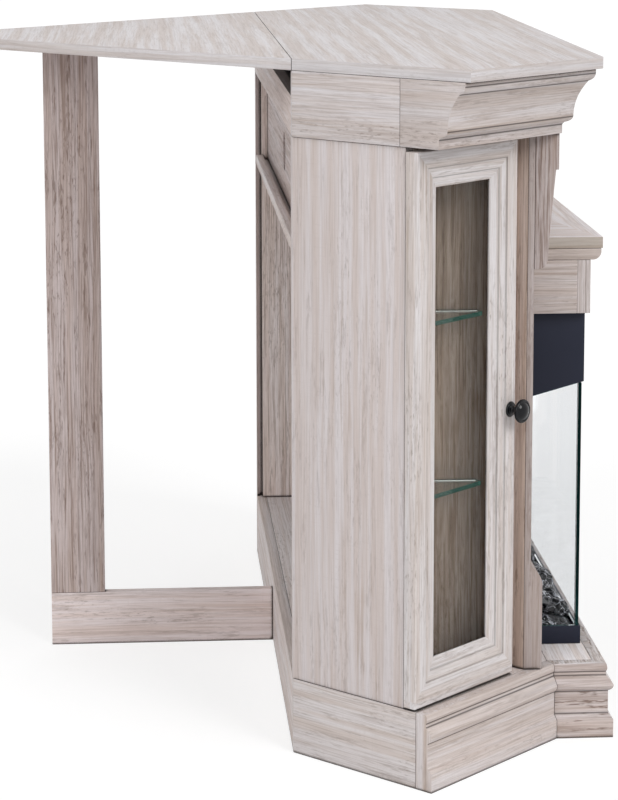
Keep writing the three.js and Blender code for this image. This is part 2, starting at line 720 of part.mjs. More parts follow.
function doorGeometry() {
  const opening = {
    x0: DOOR_STILE,
    x1: DOOR_WIDTH - DOOR_STILE,
    z0: DOOR_BOTTOM + DOOR_BOTTOM_RAIL,
    z1: DOOR_TOP - DOOR_STILE,
  };
  const widened = (by, depth) => ({
    x0: opening.x0 - by,
    x1: opening.x1 + by,
    z0: opening.z0 - by,
    z1: opening.z1 + by,
    y: DOOR_FACE + depth,
  });
  const outer = (inset, depth) => ({
    x0: inset,
    x1: DOOR_WIDTH - inset,
    z0: DOOR_BOTTOM + inset,
    z1: DOOR_TOP - inset,
    y: DOOR_FACE + depth,
  });
  const step = DOOR_SIGHT_MOULDING;
  return rectangleLoft([
    outer(0, DOOR_THICKNESS),
    outer(0, DOOR_EDGE_ROUND),
    outer(DOOR_EDGE_ROUND * 0.3, DOOR_EDGE_ROUND * 0.3),
    outer(DOOR_EDGE_ROUND, 0),
    widened(step, 0),
    widened(step - 1, 1.8),
    widened(step - 4, 1.4),
    widened(step * 0.52, 3.4),
    widened(step * 0.48, 5),
    widened(step * 0.3, 5.8),
    widened(step * 0.12, 7.6),
    widened(0, 9.5),
    widened(0, DOOR_GLASS_DEPTH),
    widened(DOOR_REBATE, DOOR_GLASS_DEPTH),
    widened(DOOR_REBATE, DOOR_THICKNESS),
  ]);
}

const HINGE_HEIGHTS = [DOOR_BOTTOM + HINGE_FROM_END, DOOR_TOP - HINGE_FROM_END];
const HINGE_LABELS = ['lower', 'upper'];

function buildDoors() {
  const back = DOOR_FACE + DOOR_THICKNESS;
  const bores = HINGE_HEIGHTS.map((height) => {
    const start = [CUP_EDGE_DISTANCE, back - CUP_DEPTH - CUP_PLAY, height];
    return rod('y', start, CUP_DEPTH + CUP_PLAY + 1, CUP_DIAMETER + 2 * CUP_PLAY, 24);
  });
  addPair('door_frame', cut(doorGeometry(), bores), PALE_WOOD, cupboards);

  const play = DOOR_REBATE - GLASS_PLAY;
  const pane = block(
    [DOOR_STILE - play, DOOR_FACE + DOOR_GLASS_DEPTH + SEAT_GAP, DOOR_BOTTOM + DOOR_BOTTOM_RAIL - play],
    [
      DOOR_WIDTH - DOOR_STILE + play,
      DOOR_FACE + DOOR_GLASS_DEPTH + SEAT_GAP + GLASS_THICKNESS,
      DOOR_TOP - DOOR_STILE + play,
    ],
  );
  addPair('door_glass', pane, CLEAR_GLASS, cupboards);
  addPair('door_knob', knobGeometry(), KNOB_BLACK, cupboards);
}

// Turned mushroom knob, its profile drawn from the rose outwards.
function knobGeometry() {
  const rose = KNOB_ROSE_DIAMETER / 2;
  const stem = KNOB_STEM_DIAMETER / 2;
  const head = KNOB_DIAMETER / 2;
  const neck = KNOB_PROJECTION * 0.5;
  const profile = new THREE.Path();
  profile.moveTo(0, 0);
  profile.lineTo(rose, 0);
  profile.quadraticCurveTo(rose, 3, rose - 3, 3.4);
  profile.quadraticCurveTo(stem, 4, stem, neck - 3);
  profile.quadraticCurveTo(stem, neck, head - 3, neck + 1);
  profile.quadraticCurveTo(head, neck + 2, head, neck + 4.5);
  profile.quadraticCurveTo(head - 1, KNOB_PROJECTION - 2, 0, KNOB_PROJECTION);
  const geometry = new THREE.LatheGeometry(profile.getPoints(5), 28);
  const flat = DOOR_FACE - SEAT_GAP;
  const across = DOOR_WIDTH - (DOOR_STILE - DOOR_SIGHT_MOULDING) / 2;
  return facingOut(welded(geometry.rotateX(Math.PI)).translate(across, flat, KNOB_HEIGHT));
}

// Cup hinge: the cup is let into the door and the arm is screwed to the side panel.
function buildHinges() {
  const doorBack = DOOR_FACE + DOOR_THICKNESS;
  const flange = DOOR_BACK_GAP - 2 * SEAT_GAP;
  HINGE_HEIGHTS.forEach((height, index) => {
    const cup = rod('y', [CUP_EDGE_DISTANCE, doorBack - CUP_DEPTH, height], CUP_DEPTH + flange, CUP_DIAMETER);
    const plate = block(
      [CUP_EDGE_DISTANCE - CUP_PLATE_WIDTH / 2, doorBack + SEAT_GAP, height - CUP_PLATE_HEIGHT / 2],
      [CUP_EDGE_DISTANCE + CUP_PLATE_WIDTH / 2, doorBack + flange, height + CUP_PLATE_HEIGHT / 2],
    );
    addPair(`hinge_cup_${HINGE_LABELS[index]}`, join(cup, [plate]), HINGE_STEEL, cupboards);

    const foot = PANEL_BACK + SEAT_GAP;
    const start = CARCASS_FACE + 2 * SEAT_GAP;
    const arm = new THREE.Shape();
    arm.moveTo(foot, start + 6);
    arm.lineTo(foot, start + HINGE_ARM_LENGTH);
    arm.lineTo(foot + HINGE_ARM_HEIGHT * 0.6, start + HINGE_ARM_LENGTH);
    arm.quadraticCurveTo(
      foot + HINGE_ARM_HEIGHT * 1.4, start + 14,
      foot + HINGE_ARM_HEIGHT * 0.8, start,
    );
    arm.lineTo(foot + 1, start);
    const low = height - HINGE_ARM_WIDTH / 2;
    const body = planBoard(arm, low, low + HINGE_ARM_WIDTH);
    const seat = block(
      [foot, start + HINGE_SEAT_LENGTH, height - HINGE_SEAT_HEIGHT / 2],
      [foot + HINGE_SEAT_THICKNESS, start + 2 * HINGE_SEAT_LENGTH, height + HINGE_SEAT_HEIGHT / 2],
    );
    addPair(`hinge_arm_${HINGE_LABELS[index]}`, join(body, [seat]), HINGE_STEEL, cupboards);
  });
}

function buildShelves() {
  const front = CARCASS_FACE + BOARD + SHELF_FRONT_GAP;
  const side = PANEL_BACK + SHELF_PLAY;
  const wall = (HALF_WIDTH - PARTITION_FACE - SHELF_PLAY) * ROOT2;
  const c = SHELF_CORNER_CUT;
  const outline = [
    [side, front],
    [wall - front - c, front],
    [wall - front - c, front + c],
    [side + c, wall - side - c],
    [side, wall - side - 2 * c],
  ];
  SHELF_HEIGHTS.forEach((height, index) => {
    const pane = planBoard(outline, height - SHELF_THICKNESS, height);
    addPair(`glass_shelf_${HINGE_LABELS[index]}`, pane, CLEAR_GLASS, cupboards);
  });
}

// ---------------------------------------------------------------- middle bay

// Pilaster in side view: plain shaft on a plinth block with a moulded cap.
function buildPilasters() {
  const at = (depth) => STILE_FRONT - SEAT_GAP - depth;
  const blockTop = CARCASS_BOTTOM + PLINTH_BLOCK_HEIGHT;
  const capTop = blockTop + PLINTH_CAP_HEIGHT;
  const section = new THREE.Shape();
  section.moveTo(at(0), CARCASS_BOTTOM);
  section.lineTo(at(0), CARCASS_TOP);
  section.lineTo(at(PILASTER_THICKNESS), CARCASS_TOP);
  section.lineTo(at(PILASTER_THICKNESS), capTop);
  section.bezierCurveTo(
    at(PILASTER_THICKNESS + 1), capTop - 12,
    at(PLINTH_BLOCK_DEPTH - 3), capTop - 14,
    at(PLINTH_BLOCK_DEPTH - 1), blockTop + 3,
  );
  section.lineTo(at(PLINTH_BLOCK_DEPTH), blockTop);
  section.lineTo(at(PLINTH_BLOCK_DEPTH), CARCASS_BOTTOM);
  addPair('pilaster', alongX(section, -PILASTER_OUTER, -PILASTER_INNER), PALE_WOOD);

  const back = PILASTER_THICKNESS + SEAT_GAP;
  const foot = CARCASS_TOP - CORBEL_HEIGHT;
  const stepHeight = CARCASS_TOP - CORBEL_BLOCK_HEIGHT;
  const corbel = new THREE.Shape();
  corbel.moveTo(at(back), CARCASS_TOP);
  corbel.lineTo(at(CORBEL_DEPTH), CARCASS_TOP);
  corbel.lineTo(at(CORBEL_DEPTH), stepHeight);
  corbel.lineTo(at(CORBEL_DEPTH - CORBEL_STEP), stepHeight);
  corbel.quadraticCurveTo(
    at(CORBEL_FOOT_DEPTH + 3.5), foot + CORBEL_CURVE_RISE,
    at(CORBEL_FOOT_DEPTH), foot + CORBEL_FOOT_ROUND,
  );
  corbel.quadraticCurveTo(
    at(CORBEL_FOOT_DEPTH - 1), foot + 2,
    at(CORBEL_FOOT_DEPTH - CORBEL_FOOT_ROUND), foot,
  );
  corbel.lineTo(at(back), foot);
  addPair('corbel', alongX(corbel, -PILASTER_OUTER, -PILASTER_INNER), PALE_WOOD);
}

function buildHeader() {
  const back = STILE_FRONT + HEADER_BACK;
  const groove = HEADER_GROOVE;
  const edge = -BAY_HALF_WIDTH;
  const leftEdge = [[edge, back]];
  for (const distance of [HEADER_STRIP_BACK, HEADER_STRIP_FRONT]) {
    leftEdge.push([edge, HEADER_FRONT + distance + groove]);
    leftEdge.push([edge + groove, HEADER_FRONT + distance]);
    leftEdge.push([edge, HEADER_FRONT + distance - groove]);
  }
  leftEdge.push([edge, HEADER_FRONT]);
  const leftInside = [[edge + BOARD, HEADER_FRONT + BOARD], [edge + BOARD, back]];
  const outline = [...leftEdge, ...mirrorPlan(leftEdge), ...mirrorPlan(leftInside), ...leftInside];
  add('header_box', planBoard(outline, HEADER_BOTTOM, HEADER_BOTTOM + HEADER_HEIGHT), PALE_WOOD);

  const face = HEADER_FRONT - MANTEL_OVERHANG + 2;
  const top = MOULDING_BOTTOM + MANTEL_MOULDING_HEIGHT;
  const round = MANTEL_MOULDING_HEIGHT - MANTEL_MOULDING_FLAT;
  const section = new THREE.Shape();
  section.moveTo(back, MOULDING_BOTTOM);
  section.lineTo(back, top);
  section.lineTo(face, top);
  section.lineTo(face, top - MANTEL_MOULDING_FLAT);
  section.absarc(face + round, top - MANTEL_MOULDING_FLAT, round, Math.PI, Math.PI * 1.5, false);
  add('mantel_moulding', alongX(section, -BAY_HALF_WIDTH, BAY_HALF_WIDTH), PALE_WOOD);

  const slab = block(
    [-BAY_HALF_WIDTH, HEADER_FRONT - MANTEL_OVERHANG, MANTEL_BOTTOM],
    [BAY_HALF_WIDTH, STILE_BACK + MANTEL_TAIL, MANTEL_BOTTOM + MANTEL_THICKNESS],
  );
  add('mantel_slab', slab, PALE_WOOD);
}

function buildNiche() {
  const half = PARTITION_INNER - SEAT_GAP;
  const legBack = CARCASS_FACE + BOARD + SEAT_GAP;
  const front = STILE_BACK + SEAT_GAP;
  const elbowX = legBack * ROOT2 - HALF_WIDTH - SIDE_DEPTH - front;
  const meetY = legBack * ROOT2 - HALF_WIDTH - SIDE_DEPTH + half;
  const leftEdge = [[-half, 0], [-half, meetY], [elbowX, front]];
  const outline = [...leftEdge, ...mirrorPlan(leftEdge)];
  const panelFront = -NICHE_PANEL_SETBACK - NICHE_PANEL_THICKNESS;
  const grooveBottom = NICHE_FLOOR - NICHE_GROOVE_DEPTH;
  const groove = block(
    [-half - 1, panelFront - SEAT_GAP, grooveBottom],
    [half + 1, -NICHE_GROOVE_SETBACK, NICHE_FLOOR + 1],
  );
  const shelf = cut(planBoard(outline, NICHE_SHELF_BOTTOM, NICHE_FLOOR), [groove]);
  add('niche_shelf', shelf, PALE_WOOD);

  const panel = shapeOf([
    [-half, grooveBottom + SEAT_GAP],
    [half, grooveBottom + SEAT_GAP],
    [half, CARCASS_TOP],
    [-half, CARCASS_TOP],
  ]);
  const hole = new THREE.Path();
  hole.absarc(0, NICHE_FLOOR + CABLE_HOLE_RISE, CABLE_HOLE_DIAMETER / 2, 0, Math.PI * 2, true);
  panel.holes.push(hole);
  const geometry = new THREE.ExtrudeGeometry(panel, {
    depth: NICHE_PANEL_THICKNESS,
    bevelEnabled: false,
    curveSegments: 16,
  });
  geometry.rotateX(Math.PI / 2).translate(0, -NICHE_PANEL_SETBACK, 0);
  add('niche_back_panel', geometry, SHADED_WOOD);
}

// ---------------------------------------------------------------- electric fire

// Height of the hood's sloping lower edge at one distance behind its face.
function hoodEdge(y) {
  return HOOD_LIP - (y - FIRE_FRONT) * HOOD_SLOPE;
}

function buildHood() {
  const back = FIRE_BACK - HOUSING_CLEARANCE;
  const outside = shapeOf([
    [FIRE_FRONT, HOOD_LIP],
    [back, hoodEdge(back)],
    [back, HOOD_TOP],
    [FIRE_FRONT, HOOD_TOP],
  ]);
  const inside = shapeOf([
    [FIRE_FRONT + SHEET, HOOD_LIP + SHEET],
    [back + 1, hoodEdge(back + 1) + SHEET],
    [back + 1, HOOD_TOP - SHEET],
    [FIRE_FRONT + SHEET, HOOD_TOP - SHEET],
  ]);
  const body = alongX(outside, -FIRE_HALF_WIDTH, FIRE_HALF_WIDTH);
  const cutters = [alongX(inside, SHEET - FIRE_HALF_WIDTH, FIRE_HALF_WIDTH - SHEET)];
  const middle = (HOOD_TOP + HOOD_LIP) / 2;
  for (let i = 0; i < VENT_COUNT; i += 1) {
    const z = middle + (i - (VENT_COUNT - 1) / 2) * VENT_PITCH;
    const half = FIRE_HALF_WIDTH - VENT_END_DISTANCE;
    const low = [-half, FIRE_FRONT - 1, z - VENT_HEIGHT / 2];
    const high = [half, FIRE_FRONT + VENT_DEPTH, z + VENT_HEIGHT / 2];
    cutters.push(block(low, high));
  }
  add('fire_hood', cut(body, cutters), BLACK_STEEL);
}

function buildTray() {
  const back = FIRE_BACK - HOUSING_CLEARANCE;
  const top = CARCASS_BOTTOM + TRAY_HEIGHT;
  const body = block([-FIRE_HALF_WIDTH, FIRE_FRONT, CARCASS_BOTTOM], [FIRE_HALF_WIDTH, back, top]);
  const well = block(
    [-FIRE_HALF_WIDTH + TRAY_RIM, FIRE_FRONT + TRAY_RIM, top - TRAY_WELL_DEPTH],
    [FIRE_HALF_WIDTH - TRAY_RIM, back - TRAY_RIM, top + 1],
  );
  add('fire_tray', cut(body, [well]), BLACK_STEEL);
  add('ember_bed', emberBed(top - TRAY_WELL_DEPTH + SEAT_GAP, back - TRAY_RIM), EMBER_CHARCOAL);
}

// Heap of embers: a closed height field that is low at the glass and high at the back.
function emberBed(bottom, back) {
  const columns = 56;
  const rows = 9;
  const halfLength = FIRE_HALF_WIDTH - TRAY_RIM - 1;
  const front = FIRE_FRONT + TRAY_RIM + 1;
  const depth = back - 1 - front;
  const rim = TRAY_WELL_DEPTH - 3;
  const height = (s, t) => {
    const edge = Math.min(1, Math.min(s, 1 - s) * 9) * Math.min(1, t * 2.4);
    const lumps = 0.62 + 0.2 * Math.sin(s * 61) + 0.14 * Math.sin(s * 23 + t * 9) + 0.1 * Math.sin(t * 14);
    return rim + edge * lumps * EMBER_BED_HEIGHT;
  };
  const positions = [];
  for (let j = 0; j <= rows; j += 1) {
    for (let i = 0; i <= columns; i += 1) {
      const s = i / columns;
      const t = j / rows;
      positions.push(-halfLength + s * 2 * halfLength, front + t * depth, bottom + height(s, t));
    }
  }
  const topCount = positions.length / 3;
  for (let k = 0; k < topCount; k += 1) {
    positions.push(positions[k * 3], positions[k * 3 + 1], bottom);
  }
  const indices = [];
  const at = (i, j) => j * (columns + 1) + i;
  const quad = (a, b, c, d) => indices.push(a, b, c, a, c, d);
  for (let j = 0; j < rows; j += 1) {
    for (let i = 0; i < columns; i += 1) {
      quad(at(i, j), at(i + 1, j), at(i + 1, j + 1), at(i, j + 1));
    }
  }
  const rimLoop = [];
  for (let i = 0; i < columns; i += 1) rimLoop.push(at(i, 0));
  for (let j = 0; j < rows; j += 1) rimLoop.push(at(columns, j));
  for (let i = columns; i > 0; i -= 1) rimLoop.push(at(i, rows));
  for (let j = rows; j > 0; j -= 1) rimLoop.push(at(0, j));
  rimLoop.forEach((a, k) => {
    const b = rimLoop[(k + 1) % rimLoop.length];
    quad(b, a, a + topCount, b + topCount);
  });
  const centre = positions.length / 3;
  positions.push(0, front + depth / 2, bottom);
  rimLoop.forEach((a, k) => {
    const b = rimLoop[(k + 1) % rimLoop.length];
    indices.push(b + topCount, a + topCount, centre);
  });
  const used = geometryFrom(positions, indices);
  return facingOut(compact(used));
}

// Drops the corners that no face uses.
function compact(geometry) {
  const source = geometry.getAttribute('position');
  const remap = new Map();
  const positions = [];
  const indices = Array.from(geometry.getIndex().array, (old) => {
    if (!remap.has(old)) {
      remap.set(old, positions.length / 3);
      positions.push(source.getX(old), source.getY(old), source.getZ(old));
    }
    return remap.get(old);
  });
  return geometryFrom(positions, indices);
}

function buildBayGlass() {
  const bottom = CARCASS_BOTTOM + TRAY_HEIGHT + SEAT_GAP;
  const front = FIRE_FRONT + BAY_GLASS_SETBACK;
  const paneBack = front + BAY_GLASS_THICKNESS;
  const half = FIRE_HALF_WIDTH - 1;
  const pane = block([-half, front, bottom], [half, paneBack, hoodEdge(paneBack) - SEAT_GAP]);
  add('front_bay_glass', pane, CLEAR_GLASS);

  const start = paneBack + SEAT_GAP;
  const end = FIRE_BACK - HOUSING_CLEARANCE - SEAT_GAP;
  const side = shapeOf([
    [start, bottom],
    [end, bottom],
    [end, hoodEdge(end) - SEAT_GAP],
    [start, hoodEdge(start) - SEAT_GAP],
  ]);
  addPair('side_bay_glass', alongX(side, -half, -half + BAY_GLASS_THICKNESS), CLEAR_GLASS);
}

// Folded steel case behind the bay, open at the front, with the flame screen inside it.
function buildHousing() {
  const front = FIRE_BACK;
  const back = front + HOUSING_DEPTH;
  const body = block(
    [-HOUSING_HALF_WIDTH, front, CARCASS_BOTTOM],
    [HOUSING_HALF_WIDTH, back, HOOD_TOP],
  );
  const flangeEnd = HOUSING_HALF_WIDTH + HOUSING_FLANGE_WIDTH;
  const flange = block([-flangeEnd, front, CARCASS_BOTTOM], [flangeEnd, front + SHEET, HOOD_TOP]);
  const half = HOUSING_HALF_WIDTH - SHEET;
  const inside = block(
    [-half, front - 1, CARCASS_BOTTOM + SHEET],
    [half, back - SHEET, HOOD_TOP - SHEET],
  );
  add('fire_housing', cut(join(body, [flange]), [inside]), BLACK_STEEL);

  const screen = block(
    [-half + SEAT_GAP, front + SCREEN_DEPTH, CARCASS_BOTTOM + SHEET + SEAT_GAP],
    [half - SEAT_GAP, front + SCREEN_DEPTH + SHEET, HOOD_TOP - SHEET - SEAT_GAP],
  );
  add('flame_screen', screen, BLACK_STEEL);
}

// ---------------------------------------------------------------- build

buildTop();
buildPost();
buildCrown();
buildFrieze();
buildBase();
buildFloor();
buildWalls();
buildStiles();
buildDoors();
buildHinges();
buildShelves();
buildPilasters();
buildHeader();
buildNiche();
buildHood();
buildTray();
buildBayGlass();
buildHousing();

// The origin is under the middle of the outline that the whole piece covers.
fireplace.position.y = (HEARTH_FOOT - TIP_DEPTH) / 2;

export default fireplace;
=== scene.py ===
"""Corner fireplace cabinet in limed timber: finishes and fine pieces round the packed model."""
import math
import random

import bmesh
import bpy
from mathutils import Euler, Matrix, Vector, noise


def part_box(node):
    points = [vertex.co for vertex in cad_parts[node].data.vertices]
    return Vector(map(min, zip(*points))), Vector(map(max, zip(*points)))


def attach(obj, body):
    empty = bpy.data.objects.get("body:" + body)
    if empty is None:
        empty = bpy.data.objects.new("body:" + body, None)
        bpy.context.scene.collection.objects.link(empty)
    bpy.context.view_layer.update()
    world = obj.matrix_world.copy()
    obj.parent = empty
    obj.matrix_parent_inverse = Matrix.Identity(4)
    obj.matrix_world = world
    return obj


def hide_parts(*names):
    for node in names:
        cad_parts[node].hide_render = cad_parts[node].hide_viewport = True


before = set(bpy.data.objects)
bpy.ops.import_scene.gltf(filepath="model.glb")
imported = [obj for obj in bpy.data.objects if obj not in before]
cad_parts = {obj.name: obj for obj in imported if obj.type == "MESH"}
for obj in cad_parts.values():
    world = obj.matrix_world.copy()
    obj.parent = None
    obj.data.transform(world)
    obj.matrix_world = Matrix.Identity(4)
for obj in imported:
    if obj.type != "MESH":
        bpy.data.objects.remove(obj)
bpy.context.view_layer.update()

bl_info = {
    "name": "Corner fireplace cabinet",
    "version": (1, 0, 0),
    "blender": (4, 5, 0),
    "location": "View3D > Sidebar > Fireplace",
    "description": "Finishes and fine pieces of a corner fireplace cabinet",
    "category": "Object",
}

MM = 0.001
SIDES = {"left": -1, "right": 1}
LEVELS = ("lower", "upper")
ACROSS, AHEAD = (1, 0, 0), (0, 1, 0)
EDGE_ON = math.sqrt(0.5)  # a cupboard stands at 45 degrees to the fireplace


# ---------------------------------------------------------------- colours and helpers

def tone(red, green, blue):
    """A colour given as it looks on screen, 0 to 255, in the linear values that shaders use."""
    def linear(value):
        value /= 255
        return value / 12.92 if value <= 0.04045 else ((value + 0.055) / 1.055) ** 2.4
    return linear(red), linear(green), linear(blue)


def colour(name, text, value):
    return bpy.props.FloatVectorProperty(
        name=name, description=text, subtype="COLOR", size=3, min=0, max=1, default=value)


def number(name, text, value, **limits):
    return bpy.props.FloatProperty(name=name, description=text, default=value, **limits)


def amount(name, text, value):
    return number(name, text, value, min=0, max=1, subtype="FACTOR")


def angle(name, text, degrees):
    return number(name, text, math.radians(degrees), subtype="ANGLE", unit="ROTATION")


def length(name, text, millimetres):
    return number(name, text, millimetres * MM, min=0, unit="LENGTH", subtype="DISTANCE")


def fill(tree, socket, value):
    """Gives a socket a value, or links it to the socket that feeds it."""
    if isinstance(value, bpy.types.NodeSocket):
        tree.links.new(value, socket)
    elif socket.type == "RGBA" and len(value) == 3:
        socket.default_value = (*value, 1)
    else:
        socket.default_value = value


def node(tree, kind, inputs=None, **settings):
    made = tree.nodes.new(kind)
    for key, value in settings.items():
        setattr(made, key, value)
    for key, value in (inputs or {}).items():
        fill(tree, made.inputs[key], value)
    return made


def feed(tree, inputs, **sockets):
    """Fills the sockets of a shader or of a group's output, given by name."""
    for key, value in sockets.items():
        fill(tree, inputs[key.replace("_", " ")], value)


def maths(tree, operation, first, second=0.0, third=0.0, clamp=False):
    return node(tree, "ShaderNodeMath", {0: first, 1: second, 2: third},
                operation=operation, use_clamp=clamp).outputs[0]


def vector_maths(tree, operation, first, second=(0, 0, 0), **extra):
    return node(tree, "ShaderNodeVectorMath", {0: first, 1: second, **extra},
                operation=operation).outputs[0]


def times(tree, first, *others):
    for other in others:
        first = maths(tree, "MULTIPLY", first, other)
    return first


def largest(tree, first, *others):
    for other in others:
        first = maths(tree, "MAXIMUM", first, other)
    return first


def distance(tree, first, second):
    return maths(tree, "ABSOLUTE", maths(tree, "SUBTRACT", first, second))


def reach_along(tree, vector, way):
    """How far a vector reaches along a direction."""
    return node(tree, "ShaderNodeVectorMath", {0: vector, 1: tuple(way)},
                operation="DOT_PRODUCT").outputs["Value"]


def texture_place(tree, kind="Object"):
    return node(tree, "ShaderNodeTexCoord").outputs[kind]


def mix_colour(tree, factor, first, second, blend="MIX"):
    return node(tree, "ShaderNodeMix", {0: factor, 6: first, 7: second},
                data_type="RGBA", blend_type=blend).outputs[2]


def mix_vector(tree, factor, first, second):
    return node(tree, "ShaderNodeMix", {0: factor, 4: first, 5: second},
                data_type="VECTOR").outputs[1]


def ramp(tree, value, low, high, to_low=0.0, to_high=1.0):
    """Smooth step of a value from one level to another."""
    return node(tree, "ShaderNodeMapRange",
                {"Value": value, "From Min": low, "From Max": high,
                 "To Min": to_low, "To Max": to_high},
                interpolation_type="SMOOTHSTEP").outputs["Result"]


def speckle(tree, vector, stretch, detail=2.0, rough=0.5, shift=(0, 0, 0)):
    """Noise between 0 and 1, stretched along the three axes, in cells per metre."""
    placed = node(tree, "ShaderNodeMapping",
                  {"Vector": vector, "Scale": stretch, "Location": shift}).outputs[0]
    return node(tree, "ShaderNodeTexNoise",
                {"Vector": placed, "Scale": 1.0, "Detail": detail, "Roughness": rough},
                ).outputs["Fac"]


def new_group(name, inputs):
    """An empty shader group with named inputs, and a colour, a roughness and a height to give."""
    outputs = {"Color": "colour", "Roughness": "value", "Height": "value"}
    kinds = {"colour": "NodeSocketColor", "value": "NodeSocketFloat", "vector": "NodeSocketVector"}
    tree = bpy.data.node_groups.new(name, "ShaderNodeTree")
    for way, sockets in (("INPUT", inputs), ("OUTPUT", outputs)):
        for socket, kind in sockets.items():
            tree.interface.new_socket(socket, in_out=way, socket_type=kinds[kind])
    return tree, tree.nodes.new("NodeGroupInput").outputs, tree.nodes.new("NodeGroupOutput").inputs


def place_group(tree, name, inputs):
    return node(tree, "ShaderNodeGroup", inputs, node_tree=bpy.data.node_groups[name]).outputs


def new_material(name, **settings):
    """A material with one Principled shader, whose fixed sockets are set here."""
    material = bpy.data.materials.new(name)
    material.use_nodes = True
    tree = material.node_tree
    shader = tree.nodes["Principled BSDF"].inputs
    feed(tree, shader, **settings)
    return material, tree, shader


def bump(tree, height, distance, strength=1.0):
    return node(tree, "ShaderNodeBump",
                {"Height": height, "Distance": distance, "Strength": strength}).outputs[0]


def dress(name, material):
    """Gives a carried-over part its finish."""
    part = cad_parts[name]
    for slot in part.material_slots:
        slot.material = material
    return part


def new_piece(name, mesh, body, material, stands_for=()):
    made = bpy.data.objects.new(name, mesh)
    bpy.context.scene.collection.objects.link(made)
    mesh.materials.append(material)
    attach(made, body)
    if stands_for:
        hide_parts(*stands_for)
    return made


def to_mesh(work, name, smooth=True):
    mesh = bpy.data.meshes.new(name)
    bmesh.ops.recalc_face_normals(work, faces=work.faces)
    work.to_mesh(mesh)
    work.free()
    for face in mesh.polygons:
        face.use_smooth = smooth
    return mesh


def span(name, direction):
    """Lowest and highest reach of a packed part along a direction."""
    reach = [vertex.co.dot(direction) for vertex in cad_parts[name].data.vertices]
    return min(reach), max(reach)


def middle(name, direction):
    return sum(span(name, direction)) / 2


def door_axes(side):
    """Along a door towards its knob, out of its face, and up."""
    hand = SIDES[side]
    along = Vector((-hand * EDGE_ON, -EDGE_ON, 0))
    outward = Vector((hand * EDGE_ON, -EDGE_ON, 0))
    return along, outward, Vector((0, 0, 1))


# ---------------------------------------------------------------- settings

class TimberFinish(bpy.types.PropertyGroup):
    """Limed timber foil."""
    pale: colour("Pale", "Ground colour of the limed board", tone(214, 202, 197))
    wash: colour("Wash", "Cooler zones where the liming lies thick", tone(224, 217, 217))
    line: colour("Line", "Grain lines", tone(150, 131, 120))
    tan: colour("Tan", "Warm patches that show through", tone(176, 153, 135))
    fleck: colour("Fleck", "Small dark marks and knots", tone(112, 90, 76))
    patches: amount("Patches", "How much of the warm colour shows", 0.62)
    lines: amount("Lines", "Strength of the grain lines", 0.40)
    flecks: amount("Flecks", "Strength of the dark flecks", 0.42)
    # painted shade: darkening painted in creases and joints, where shade falls
    painted_crease_shade: amount("Painted_crease_shade", "Darkening in creases and joints", 0.92)
    pitch: length("Pitch", "Distance between grain lines", 4.4)
    relief: length("Relief", "Depth of the embossed grain", 0.25)
    # reach of the painted crease shade
    crease: length("Crease", "Reach of the darkening from a crease", 6)
    easing: length("Easing", "Rounding of the board edges", 0.7)


class MetalFinish(bpy.types.PropertyGroup):
    """Coated steel, turned knobs and hinges."""
    hood: colour("Hood", "Satin coat of the hood and tray", tone(34, 37, 51))
    screen: colour("Screen", "Back of the flame chamber", tone(20, 20, 23))
    knob: colour("Knob", "Gloss black of the knobs", tone(8, 9, 13))
    nickel: colour("Nickel", "Plating of hinges and screws", tone(190, 190, 188))


class GlassFinish(bpy.types.PropertyGroup):
    """Clear float glass."""
    sheet: colour("Sheet", "Colour of the glass through its faces", tone(243, 247, 247))
    bay: colour("Bay", "Colour of the bay glass through its faces", tone(252, 253, 254))
    cut: colour("Cut", "Cut edges of the shelves", tone(128, 190, 178))
    bay_cut: colour("Bay cut", "Cut edges of the bay glass", tone(112, 168, 166))
    pane: colour("Pane", "Colour of the door panes", tone(238, 239, 236))


class EmberFinish(bpy.types.PropertyGroup):
    """Moulded ember bed."""
    char: colour("Char", "Charred surface", tone(20, 20, 24))
    # ash, with painted highlights standing in for the glints on the ridges
    ash: colour("Ash", "Silvery ash on the ridges", tone(196, 198, 206))
    lumps: bpy.props.IntProperty(
        name="Lumps", description="Loose coals on the bed", default=110, min=0, max=400)


class StageLook(bpy.types.PropertyGroup):
    """Camera, lamps and ground."""
    place: bpy.props.FloatVectorProperty(
        name="Camera place", description="Where the camera stands", size=3, unit="LENGTH",
        subtype="TRANSLATION", default=(-3.9238, 0.2252, 1.2282))
    turn: angle("Turn", "Turn of the camera from the width of the cabinet", 3.889)
    dip: angle("Dip", "How far the camera looks down", 8.494)
    roll: angle("Roll", "Roll of the camera", -0.094)
    lens: number("Lens", "Focal length in millimetres", 114.85, min=10)
    shift: number("Shift", "Upward shift of the lens", -0.20)
    sky: amount("Sky", "Even light from all round", 0.46)
    key: number("Key", "Strength of the main lamp", 1.35, min=0)
    side: number("Side", "Strength of the lamp beside the cabinet", 0.85, min=0)
    fill: number("Fill", "Strength of the lamp behind", 0.3, min=0)


SETTINGS = {
    "limed_timber": TimberFinish, "cabinet_metal": MetalFinish, "cabinet_glass": GlassFinish,
    "ember_bed_look": EmberFinish, "studio_look": StageLook,
}


# ---------------------------------------------------------------- timber

